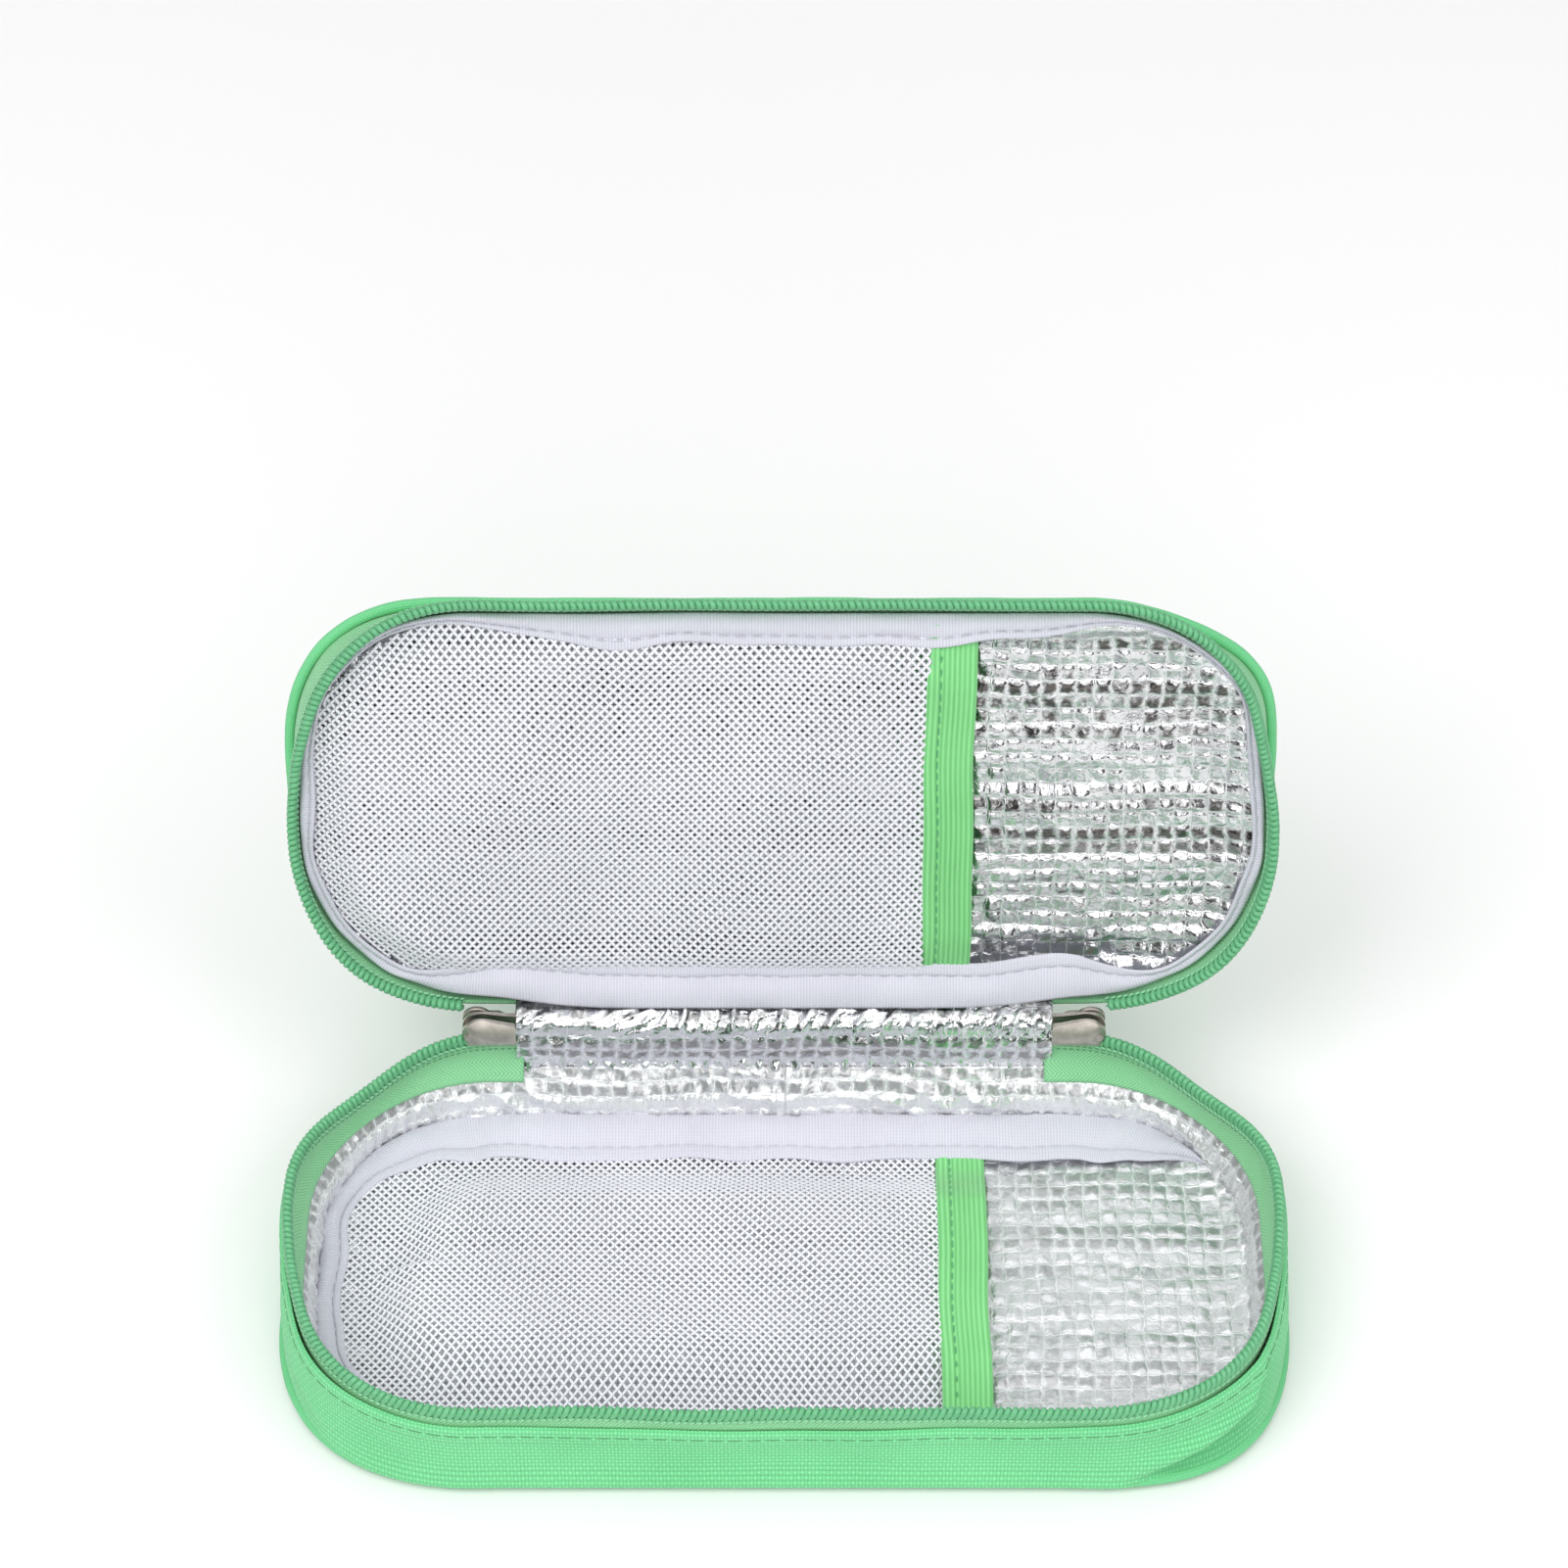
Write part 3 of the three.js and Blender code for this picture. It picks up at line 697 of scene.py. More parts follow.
def crinkle(a, b, size, seed, waves):
    """Sharp random creases, as in foil that was folded and pressed flat again."""
    gen = np.random.default_rng(seed)
    total = 0.0 * a
    for length in waves:
        angle, phase, bend = gen.uniform(0, math.pi), gen.uniform(0, 6.28), gen.uniform(0, 6.28)
        along = a * math.cos(angle) + b * math.sin(angle)
        across = b * math.cos(angle) - a * math.sin(angle)
        along = along + 0.35 * length * np.sin(across / (1.1 * length) + bend)
        strength = 0.5 + 0.5 * np.sin(across / (2.3 * length) + along / (4.1 * length) + phase)
        total = total + strength * (1 - np.abs(np.sin(math.pi * along / length + phase)) * 1.6) * length / 3
    return size * total


def undulation(a, b, size, seed):
    phases = np.random.default_rng(seed).uniform(0, TAU, 4)
    wave = np.sin(TAU * b / 14.3 + 0.7 * np.sin(a / 31 + phases[0]) + phases[1])
    wave = wave + 0.5 * np.sin(TAU * b / 8.1 + 0.9 * np.sin(a / 19 + phases[2]) + phases[3])
    return size * wave


FOIL_STEP = 0.48
SLOPE_STEP = 0.01


def foil_sheet(name, edge, height, material, body, nodes, cap):
    """A flat sheet of embossed foil, cut to the outline moved in by edge(s)."""
    step = FOIL_STEP
    x, y = np.meshgrid(
        np.arange(-HALF_LENGTH, HALF_LENGTH, step), np.arange(-HALF_DEPTH, HALF_DEPTH, step), indexing="ij"
    )
    far = distance(x, y) + edge(arc_length(x, y))
    tiny = SLOPE_STEP
    slope_x = (distance(x + tiny, y) - distance(x - tiny, y)) / (2 * tiny)
    slope_y = (distance(x, y + tiny) - distance(x, y - tiny)) / (2 * tiny)
    over = np.maximum(far, 0)
    keep = far < step
    x, y = x - over * slope_x, y - over * slope_y
    z, u, v = height(x, y)
    n, k = x.shape
    i, j = np.meshgrid(np.arange(n - 1), np.arange(k - 1), indexing="ij")
    whole = keep[:-1, :-1] & keep[1:, :-1] & keep[1:, 1:] & keep[:-1, 1:]
    i, j = i[whole], j[whole]
    faces = np.stack([i * k + j, (i + 1) * k + j, (i + 1) * k + j + 1, i * k + j + 1], -1)
    used, faces = np.unique(faces, return_inverse=True)
    faces = faces.reshape(-1, 4)
    verts = np.stack([x, y, z], -1).reshape(-1, 3)[used]
    uv = np.stack([u, v], -1).reshape(-1, 2)[used]
    mesh = bpy.data.meshes.new(name)
    mesh.from_pydata(verts * MM, [], faces.tolist())
    layer = mesh.uv_layers.new(name="UVMap")
    layer.uv.foreach_set("vector", uv[faces].ravel())
    return finish_piece(name, mesh, material, body, nodes, cap=cap)


# Base, outside.

FOOT_LO, FOOT_HI = node_box("bottom_piping")
PIPING_RADIUS = (FOOT_HI[2] - FOOT_LO[2]) / 2
PIPING_Z = middle_z("bottom_piping")
PANEL_EDGE = -(HALF_LENGTH - node_box("bottom_panel")[1][0]) - 0.3
BOTTOM_TOP = node_box("bottom_panel")[1][2]
WALL_TUCK = 0.8  # the soft wall hangs this far inside its outline
SLACK_DIP = 2.6  # the rim sinks this far at the back corners
PULL_IN = 2.5, 3.2  # and is pulled in this far there, left and right
RIM_FLARE = 1.0  # the front of the rim stands out
FOOT_TUCK = 0.9  # the piping's seam goes in under the front wall
FOOT_DROP = 2.2  # the front wall hangs down over the piping
INNER_SHARES = (0.06, 0.12, 0.2, 0.32, 0.46, 0.6, 0.75, 0.9, 1.0)
PAD_POINTS, TOP_POINTS = 240, 320
WALL_PAD_POINTS, LID_BINDING_POINTS = 300, 620
MERGE = 0.01  # points of a pad's middle that lie this close become one


def bottom_shift(x, y, share):
    return 0.12 * np.sin(x / 13) * np.sin(y / 9 + 1) * ease(share, 0.02, 0.2)


def corner_full(s):
    """How far the foot of the wall is pushed out at the two front corners."""
    return 3.2 * hump(s, 90, 18) + 2.0 * hump(s, -90, 18)


bottom_profile = pad_profile(0.05, BOTTOM_TOP, 0.5, INNER_SHARES)
bottom = panel(PANEL_EDGE, bottom_profile, PAD_POINTS, bottom_shift, corner_full)
bottom = make("bottom_cloth", bottom, OXFORD, "base", ["bottom_panel"], merge=MERGE)


def front(s):
    """1 along the front, 0 at the sides and back."""
    return 1 - ease(np.abs(s), 72, 112)


def end_pull(s):
    """How far the rim is pulled in at the two ends, apart from where a slider stops."""
    a = np.abs(s)
    return 1.3 * hump(a, 113, 13) + 0.5 * ease(a, 100, 120) * (1 - ease(a, 122, 137))


def corner_pull(s):
    """How far the zipper is pulled in at the two front corners."""
    return hump(np.abs(s), 96, 16)


def rim_sway(s):
    return ripple(s, 0.3, (5, 9, 14), 71)


def foot_push(s):
    return corner_full(s) - FOOT_TUCK * front(s)


PIPING_POINTS, PIPING_SIDES = 420, 14


def piping(name, z, out, body, nodes, push, thin):
    """A round cord along the whole outline, a little thicker where its ends meet at the back."""
    s = ring(PIPING_POINTS)
    out = out + ripple(s, 0.12, (9, 14, 23), 3) + push(s)
    radius = (PIPING_RADIUS - thin) * (1 + ripple(s, 0.03, (31, 57), 5))
    radius = radius + 0.1 * hump(np.abs(s), HALF_RUN, 1.6)
    points = place(s, out, z + ripple(s, 0.1, (7, 17), 8))
    make(name, tube(points, radius, PIPING_SIDES, around=True), PIPING, body, nodes)


piping("bottom_piping_cord", PIPING_Z - 0.2, -WALL_TUCK, "base", ["bottom_piping"], foot_push, 0.25)

WALL_FOOT, WALL_TOP = WALL_LO[2], WALL_HI[2]
HEM_Z = WALL_TOP - 4.5
STITCH_Z = WALL_TOP - 2.5
FACE_Z = np.arange(WALL_FOOT + 0.9, HEM_Z - 0.3, 0.55)
FACE_OUT = np.interp(FACE_Z, (4.5, 6.5, 8.5, 10.5, 12.5, 14.5, 16.0), (0.3, 0.3, 0.3, 0.28, 0.25, 0.22, 0.2))
WALL_PROFILE = np.concatenate([
    [(-0.9, WALL_FOOT - 0.6), (-0.1, WALL_FOOT - 0.45), (0.22, WALL_FOOT + 0.1)],
    np.stack([FACE_OUT, FACE_Z], 1),
    [
        (0.22, HEM_Z - 0.25), (0.5, HEM_Z), (0.66, HEM_Z + 0.5), (0.66, HEM_Z + 1.3), (0.52, STITCH_Z),
        (0.64, STITCH_Z + 0.6), (0.62, WALL_TOP - 0.9), (0.48, WALL_TOP - 0.25), (0.12, WALL_TOP),
        (-0.24, WALL_TOP - 0.25), (-0.3, WALL_TOP - 1.2), (-0.35, HEM_Z), (-0.5, 14.5), (-0.55, 10.5),
        (-0.6, 6.5), (-0.8, WALL_FOOT + 0.3),
    ],
])

CREASES = (
    # start s, start z, end s, end z, depth, how far the hollow below it reaches
    (64, 5.0, 99, 13.6, 2.2, 6.0),
    (91, 9.0, 101, 20.0, 1.4, 3.5),
    (-112, 14.0, -90, 6.0, 0.5, 3.0),
    (-84, 15.0, -70, 9.0, 0.3, 2.5),
    (8, 16.0, 22, 9.0, 0.25, 2.5),
)


def corner_slack(s):
    """1 in the middle of each back corner, where the open case's wall goes slack."""
    return hump(np.abs(s), BACK_IN + 0.5 * ARC, 17)


def pull_in(s):
    return np.where(s < 0, *PULL_IN) * corner_slack(s)


def creases(s, z):
    """The depth of each crease in the wall, and its lip above and hollow below, from 0 to 1, at s and z."""
    for s0, z0, s1, z1, depth, reach in CREASES:
        span = np.array([s1 - s0, z1 - z0])
        size = np.linalg.norm(span)
        t = ((s - s0) * span[0] + (z - z0) * span[1]) / size**2
        off = ((z - z0) * span[0] - (s - s0) * span[1]) / size
        window = ease(t, 0, 0.4) * ease(1 - t, 0, 0.3)
        hollow = np.exp(np.minimum(off, 0) / reach) / (1 + np.exp(np.clip(off / 0.22, -40, 40)))
        yield depth, window * hump(off, 1.6, 2.2), window * hollow


def wall_push(s, z):
    """How the soft wall stands out from its outline: slack, full corners, the hem's lip and creases."""
    height = np.clip((z - WALL_FOOT) / (WALL_TOP - WALL_FOOT), 0, 1)
    push = height * (1 - height) * (0.9 + ripple(s, 1.1, (5, 8, 13), 21))
    push = push + ease(height, 0.5, 1) * (0.1 + rim_sway(s) + 0.75 * RIM_FLARE * front(s) - end_pull(s))
    for depth, lip, hollow in creases(s, z):
        push = push + depth * (0.55 * lip - hollow)
    seam = ease(SEAM_RUN - np.abs(s), 0, 8)
    push = push + corner_full(s) * (1 - height)
    push = push + 0.4 * front(s) * (1 - ease(z, WALL_FOOT - 0.6, WALL_FOOT + 4))
    return push * seam - WALL_TUCK - pull_in(s) * ease(height, 0.2, 1)


def hem_lift(s, z):
    """The hem dips in the middle of the front and comes near the zipper at the corners."""
    edge = -0.7 * hump(s, 0, 40) + 0.7 * hump(np.abs(s), 85, 32) + ripple(s, 0.35, (7, 12, 19), 23)
    foot = -FOOT_DROP * front(s) * (1 - ease(z, WALL_FOOT, WALL_FOOT + 6))
    return (edge - SLACK_DIP * corner_slack(s)) * ease(z, 10, WALL_TOP - 4) + foot


WALL_POINTS = 470
wall_s = np.linspace(-SEAM_RUN, SEAM_RUN, WALL_POINTS)
wall_shape = band(wall_s, WALL_PROFILE, wall_push, hem_lift)
side = make("side_cloth", wall_shape, WALL_CLOTH, "base", ["side_wall"])
# Painted shade: how far each point of the wall lies in the hollow below a crease, for darkening the cloth there.
in_creases = creases(wall_s[:, None], WALL_PROFILE[None, :, 1])
marks = sum(hollow * min(1, depth / 2) for depth, _, hollow in in_creases)
side.data.attributes.new(CREASE_SHADE_MARK, "FLOAT", "POINT").data.foreach_set("value", marks.ravel())

# Each kind of stitch has its length, width and height.
HEM_STITCH = 2.9, 0.5, 0.34
HEM_PITCH = 3.6
HEM_LINE = 0.56, STITCH_Z, wall_push, hem_lift
make(
    "hem_stitches", outline_stitches(-SEAM_RUN + 2, SEAM_RUN - 2, HEM_PITCH, HEM_LINE, HEM_STITCH, 1),
    GREEN_THREAD, "base",
)

# The zipper's line, which the soft rim follows.

TAPE_LO, TAPE_HI = node_box("base_zipper_tape")
COIL_FOOT = node_box("base_zipper_coil")[0][2]
LID_TAPE_LO, LID_TAPE_HI = node_box("lid_zipper_tape")
LID_COIL_LO, LID_COIL_HI = node_box("lid_zipper_coil")
CHAIN_LINE = TAPE_HI[0] - HALF_LENGTH - 0.4
TOOTH = 1.35


def rim_push(s, z):
    sway = rim_sway(s) + RIM_FLARE * front(s) - pull_in(s) - end_pull(s) - 0.6 * corner_pull(s)
    return sway * ease(z, TAPE_LO[2], TAPE_HI[2])


def rim_lift(s, z):
    return (ripple(s, 0.3, (6, 10, 15), 72) - SLACK_DIP * corner_slack(s)) * ease(z, TAPE_LO[2], TAPE_HI[2])


# Padding, which the cloth and the linings cover.

WALL_FOAM_LO, WALL_FOAM_HI = node_box("wall_foam")
FLOOR_FOAM_LO, FLOOR_FOAM_HI = node_box("floor_foam")
FOAM_OUTER = WALL_FOAM_HI[0] - HALF_LENGTH
FOAM_FOOT, FOAM_TOP = WALL_FOAM_LO[2], WALL_FOAM_HI[2]
wall_foam = np.array([
    (-2.9, FOAM_FOOT), (-2.7, FOAM_FOOT + 0.4), (-2.7, FOAM_TOP - 0.7), (-2.85, FOAM_TOP - 0.4),
    (-3.0, FOAM_TOP - 1.1), (-3.5, 13.6), (-4.2, 12.2), (-4.7, 11.0), (-4.95, 8.5),
    (-4.95, FOAM_FOOT + 0.4), (-4.6, FOAM_FOOT),
])
wall_foam = band(ring(WALL_PAD_POINTS), wall_foam, rim_push, rim_lift, around=True)
wall_pad = make("wall_pad", wall_foam, FOAM, "base", ["wall_foam"])
FOAM_ROUND = 0.8
floor_foam = pad_profile(FLOOR_FOAM_LO[2], FLOOR_FOAM_HI[2], FOAM_ROUND, INNER_SHARES)
floor_foam = panel(FOAM_OUTER, floor_foam, PAD_POINTS)
floor_pad = make("floor_pad", floor_foam, FOAM, "base", ["floor_foam"], merge=MERGE)

# Base, inside: foil, binding, net pocket and elastic.

FLOOR_TOP = node_box("floor_lining")[1][2]
FLOOR_EDGE = 5.2


def floor_height(x, y):
    height, u, v = emboss(x, y, 31, puff=0.24, tilt=0.36, row_tilt=0.2)
    slope = 1.6 * hump(distance(x, y) + FLOOR_EDGE, 0, 5.0)
    soft = undulation(x, y, 0.13, 32) + crinkle(x, y, 0.03, 33, BROAD_CREASES)
    return FLOOR_TOP + 0.1 + height + soft + slope, u, v


floor_lining = foil_sheet(
    "floor_foil", lambda s: FLOOR_EDGE, floor_height, FLOOR_FOIL, "base", ["floor_lining"], FLOOR_TOP - 0.5
)

WALL_FOIL = np.array([
    (-6.9, 4.5), (-6.8, 6.5), (-6.6, 8.5), (-6.3, 10.3), (-5.9, 11.6), (-5.3, 12.6), (-4.6, 13.5),
    (-3.7, 14.7), (-2.7, 16.4),
])
FILM_BACK = 0.75
FILM_POINTS, FILM_ROWS = 1040, 34


def wall_foil():
    """The foil round the inside of the wall, from the floor up and out, under the zipper tape."""
    s = ring(FILM_POINTS)
    path, at = resample(WALL_FOIL, FILM_ROWS)
    along = unit(np.gradient(path, axis=0))
    a, b = np.meshgrid(s, at, indexing="ij")
    height, u, v = emboss(a, b, 42, puff=0.2, tilt=0.4, row_tilt=0.3)
    at_back = ease(np.abs(a), SEAM_RUN - 6, SEAM_RUN + 2)
    free = np.maximum(ease(9.7 - b, 0, 2.2), at_back) * ease(at[-1] - b, 0, 1.5)
    soft = undulation(a, b, 0.25, 43) + crinkle(a, b, 0.26, 44, FINE_CREASES)
    soft = soft + ripple(a, 0.3, (9, 15, 22), 41)
    height = (height + soft) * free
    out = path[None, :, 0] - along[None, :, 1] * height
    z = path[None, :, 1] + along[None, :, 0] * height
    back = path[::-3] + np.stack([along[::-3, 1], -along[::-3, 0]], 1) * FILM_BACK
    out = np.concatenate([out, np.repeat(back[None, :, 0], len(s), 0)], 1)
    z = np.concatenate([z, np.repeat(back[None, :, 1], len(s), 0)], 1)
    u, v = (np.concatenate([w, np.repeat(w[:, -1:], len(back), 1)], 1) for w in (u, v))
    shape = Shape().grid(carry(s, out, z, rim_push, rim_lift), u, v, around=True, closed=True)
    return make("wall_foil", shape, WALL_SHINE, "base", ["wall_lining"])


wall_lining = wall_foil()

SEAM_STITCH = 2.1, 0.46, 0.34
SEAM_AT = 0.74  # share of the way from the outer to the inner edge
STITCH_EVERY = 4  # points along the strip
TAPE_BACK = 0.12


def sewn_strip(s, outer, inner, up, roll, around):
    """A binding between an outer and an inner edge, each (out, z) at s, and its stitches.

    It has a soft roll, a stitch line and a thin flap.
    """
    t = np.concatenate([np.linspace(0, 0.66, 15), (0.69, 0.715, SEAM_AT), np.linspace(0.78, 1, 6)])
    outer, inner = np.array(outer), np.array(inner)
    span = inner - outer
    normal = up * np.stack([span[1], -span[0]]) / np.linalg.norm(span, axis=0)
    arch = np.sin(math.pi * np.clip(t / 0.7, 0, 1)) ** 0.75
    flap = 0.42 * np.clip(1 - np.abs((t - 0.86) / 0.145) ** 6, 0, 1)
    swell = 1 + ripple(s, 0.55, (13, 21, 34), 57)[:, None]
    height = roll * arch[None, :] * swell + flap[None, :] + TAPE_BACK
    height = height + 0.12 * np.sin(s / 2.7 + 5 * np.sin(s / 19))[:, None] * flap[None, :]
    middle = outer.T[:, None, :] + span.T[:, None, :] * t[None, :, None]
    face = middle + normal.T[:, None, :] * height[..., None]
    back = (middle - TAPE_BACK * normal.T[:, None, :])[:, ::-2]
    section = np.concatenate([face, back], 1)
    points = place(s, section[..., 0], section[..., 1])
    v = loop_lengths(section[len(s) // 2])
    shape = Shape().grid(points, run_on(points[:, 0]), v, around=around, closed=True, caps=not around)
    seam = face[:, np.searchsorted(t, SEAM_AT)]
    spots = np.arange(0, len(s) - STITCH_EVERY, STITCH_EVERY)
    points = place(s[spots], seam[spots, 0], seam[spots, 1])
    ahead = place(s[spots + 1], seam[spots + 1, 0], seam[spots + 1, 1])
    flat = outline(s[spots])[1] * normal[0, spots, None]
    proud = np.concatenate([flat, normal[1, spots, None]], 1)
    return shape, stitches(points, ahead - points, proud, *SEAM_STITCH)


def make_sewn(names, sewn, materials, body, node):
    """The two pieces of a sewn strip. Only the strip stands for the CAD node."""
    for name, shape, material, nodes in zip(names, sewn, materials, ([node], ())):
        make(name, shape, material, body, nodes)


BINDING_FROM, BINDING_TO, BINDING_STEP = 166.0, 66.0 + 2 * HALF_RUN, 0.85


def base_binding():
    """From the right back corner along the hinge and round the left end to the front right corner."""
    run = np.arange(BINDING_FROM, BINDING_TO, BINDING_STEP)
    s = wrap(run)
    whole = ease(run - BINDING_FROM, -4, 16) * ease(BINDING_TO - run, -4, 16)
    wide = 5.2 + 6.6 * ease(np.abs(s), BACK_IN + 14, BACK_OUT - 2)
    wide = wide * whole + ripple(s, 0.9, (11, 19, 27), 51) * whole
    outer = (-6.75 + 0.0 * s, 6.3 + ripple(s, 0.5, (9, 16, 25), 53))
    inner = (outer[0] - wide, 5.75 + ripple(s, 0.2, (15, 26), 54))
    return sewn_strip(s, outer, inner, 1, 1.3, False)


make_sewn(
    ("floor_binding_tape", "floor_binding_stitches"), base_binding(), (BINDING, WHITE_THREAD),
    "base", "floor_binding",
)

NET_X, NET_Y, NET_THICK = 1.8, 2.0, 0.22
FEWEST_POINTS = 4


def net(edge, mouth, level, seed, wide):
    """A knitted net: zigzag threads that touch their neighbours, from the left end to the pocket's mouth."""
    gen = np.random.default_rng(seed)
    shape = Shape()
    sides = np.array([(wide, 0), (0, NET_THICK), (-wide, 0), (0, -NET_THICK)])
    first = int(math.ceil((-HALF_LENGTH + edge) / (NET_X / 2)))
    last = int(math.floor(mouth / (NET_X / 2)))
    for column in range(first, last + 1):
        x0 = column * NET_X / 2
        y = np.arange(-HALF_DEPTH, HALF_DEPTH, NET_Y / 4)
        swing = np.tanh(1.5 * np.cos(TAU * y / NET_Y + math.pi * column)) / math.tanh(1.5)
        wander = 0.25 * np.sin(y / 13 + 0.11 * x0) + 0.2 * np.sin(y / 7.1 + 0.23 * x0)
        x = x0 + NET_X / 4 * swing * 0.97 + wander
        y = y + 0.25 * np.sin(x0 / 9.0 + y / 21) + gen.normal(0, 0.03, len(y))
        inside = distance(x, y) < -edge
        if inside.sum() < FEWEST_POINTS:
            continue
        x, y = x[inside], y[inside]
        z = level(x, y) + 0.1 * np.cos(TAU * y / NET_Y + math.pi * column)
        points = np.stack([x, y, z], 1)
        along = unit(np.gradient(points, axis=0))
        across = unit(np.cross(along, (0, 0, 1.0)))
        up = np.cross(across, along)
        rows = points[:, None] + sides[None, :, :1] * across[:, None] + sides[None, :, 1:] * up[:, None]
        shape.grid(rows, lengths(points), np.arange(5) * 0.3, closed=True, caps=True)
    return shape


NET_EDGE, LID_NET_EDGE = 11.0, 5.6
BASE_BAND_LO, BASE_BAND_HI = node_box("base_pocket_elastic")
BASE_NET_Z = middle_z("base_mesh_pocket")


def base_net_level(x, y):
    inset = -distance(x, y)
    low = np.where(y > 0, 19.0, 14.0)
    sag = (BASE_NET_Z - 5.6) * ease(low + 15 - inset, 0, 13)
    folds = 0.45 * np.sin(y / 6.5 + 0.02 * x + 0.6 * np.sin(x / 25)) + 0.3 * np.sin(x / 17 + y / 11)
    return BASE_NET_Z - sag + folds * ease(inset, 12, 26) * ease(BASE_BAND_LO[0] - x, 0, 14)


base_net = net(NET_EDGE, BASE_BAND_LO[0] + 0.5, base_net_level, 61, 0.36)
base_net = make("base_net", base_net, NET, "base", ["base_mesh_pocket"])

BAND_BOW = -0.4
BAND_STITCH = 1.9, 0.42, 0.3
BAND_PITCH = 2.6
RIB_PITCH = 1.12


def elastic(lo, hi, ends, falls, dip, flip):
    """A ribbed band along y: a folded strip that holds the net, a stitch line, then ribs, and its stitches.

    lo and hi are the corners of its CAD node's box, and the ribs face up (flip 1) or down (flip -1).
    """
    half = (hi[0] - lo[0]) / 2
    middle = (lo[0] + hi[0]) / 2
    z = lo[2] if flip > 0 else hi[2]
    thickness = hi[2] - lo[2]
    across = np.linspace(-1, 1, 61)
    x = across * half
    fold = ease(-x, half * 0.38 - 0.2, half * 0.38 + 0.2)
    ribs = np.sqrt(np.abs(np.sin(math.pi * (x - half) / RIB_PITCH)))
    top = thickness * (0.5 + 0.34 * ribs * (1 - fold) + 0.46 * fold)
    top = top - 0.42 * thickness * hump(x, -half * 0.44, 0.26)
    top = top * np.sqrt(np.clip(1 - np.abs(across) ** 14, 0.04, 1))
    profile_x = np.concatenate([x, x[::-3]])
    profile_z = np.concatenate([top, np.zeros(len(x[::-3])) + 0.02])
    y = np.linspace(*ends, 190)
    shift = BAND_BOW * (1 - (y / ends[0]) ** 2) + 0.15 * np.sin(y / 9.0) + 0.1 * np.sin(y / 4.3 + 1)
    drop = dip * (ease(-y, falls[0], falls[1]) + ease(y, falls[2], falls[3]))
    lift = 0.25 * np.sin(y / 7.3 + 0.5) * (1 - drop / dip)
    points = np.zeros((len(y), len(profile_x), 3))
    points[..., 0] = middle + profile_x[None, :] + shift[:, None]
    points[..., 1] = y[:, None]
    points[..., 2] = z + flip * (profile_z[None, :] + (lift - drop)[:, None])
    v = loop_lengths(np.stack([profile_x, profile_z], 1))
    shape = Shape().grid(points, y, v, closed=True, caps=True)
    rows = np.arange(ends[0] + 2, ends[1] - 1, BAND_PITCH)
    stitch_x = middle - half * 0.42 + np.interp(rows, y, shift)
    stitch_z = z + flip * (thickness * 0.66 + np.interp(rows, y, lift - drop))
    spots = np.stack([stitch_x, rows, stitch_z], 1)
    along = np.repeat([[0.0, 1.0, 0.0]], len(rows), 0)
    up = np.repeat([[0.0, 0.0, float(flip)]], len(rows), 0)
    return shape, stitches(spots, along, up, *BAND_STITCH)


BASE_ENDS = -HALF_DEPTH + 11.0, HALF_DEPTH - 16.6
make_sewn(
    ("base_elastic", "base_elastic_stitches"),
    elastic(BASE_BAND_LO, BASE_BAND_HI, BASE_ENDS, (22, 36, 14, 29), BASE_BAND_LO[2] - 5.0, 1),
    (ELASTIC, GREEN_THREAD), "base", "base_pocket_elastic",
)

# Zipper: tapes, coils and their threads.

BASE_TAPE = np.array([
    (-1.9, 23.5), (-1.75, 22.3), (-1.55, 21.2), (-1.6, 20.0), (-1.9, 18.8), (-2.6, 17.3), (-3.5, 15.9),
    (-4.3, 14.8), (-4.7, 14.1),
])
TAPE_THICK = 0.7
base_tape = band(wall_s, ribbon(BASE_TAPE, TAPE_THICK), rim_push, rim_lift)
make("base_tape_cloth", base_tape, TAPE, "base", ["base_zipper_tape"])

TURN = np.linspace(0, TAU, 11)[:-1]
LOOP_ALONG = TURN / TAU + 0.3 * np.sin(TURN)
LOOP_OUT = 0.56 * np.cos(TURN)
LOOP_UP = 1.4 + 1.15 * np.sin(TURN)
LOOP_RADII = 0.6 + 0.03 * np.clip(np.sin(TURN), 0, 1)
WIRE_SIDES, CORD_SIDES = 7, 10
CORD_STEP, CORD_UP, CORD_RADIUS = 1.2, 1.45, 0.86
THREAD_OUT, THREAD_UP, THREAD_SLANT = 0.95, 0.45, 0.35
CHAIN_STITCH = 1.2, 0.6, 0.5


def chain(body, start, foot, flip, push, lift):
    """Half of the zipper's chain, which stands up (flip 1) or hangs down (flip -1) from height foot.

    It is a nylon coil with one turn for each tooth, the cord inside it, and the two rows of thread that hold
    it to the tape.
    """
    end = -start
    count = int((end - start) / TOOTH)
    s = (start + (np.arange(count)[:, None] + LOOP_ALONG[None, :]) * TOOTH).ravel()
    z = foot + flip * np.tile(LOOP_UP, count)
    wire = carry(s, CHAIN_LINE + np.tile(LOOP_OUT, count), z, push, lift)
    wire = tube(wire, np.tile(LOOP_RADII, count), WIRE_SIDES)
    make(body + "_teeth", wire, COIL, body, [body + "_zipper_coil"])
    s = np.arange(start, end, CORD_STEP)
    cord = carry(s, CHAIN_LINE, np.full(len(s), foot + flip * CORD_UP), push, lift)
    make(body + "_teeth_cord", tube(cord, CORD_RADIUS, CORD_SIDES), GREEN_THREAD, body)
    threads = Shape()
    for face in (1, -1):
        line = CHAIN_LINE + face * THREAD_OUT, foot + flip * THREAD_UP, push, lift
        threads.join(outline_stitches(start, end, TOOTH, line, CHAIN_STITCH, face, THREAD_SLANT * flip))
    make(body + "_teeth_threads", threads, PALE_THREAD, body)


BASE_START = -SEAM_RUN + 1.5
chain("base", BASE_START, COIL_FOOT, 1, rim_push, rim_lift)

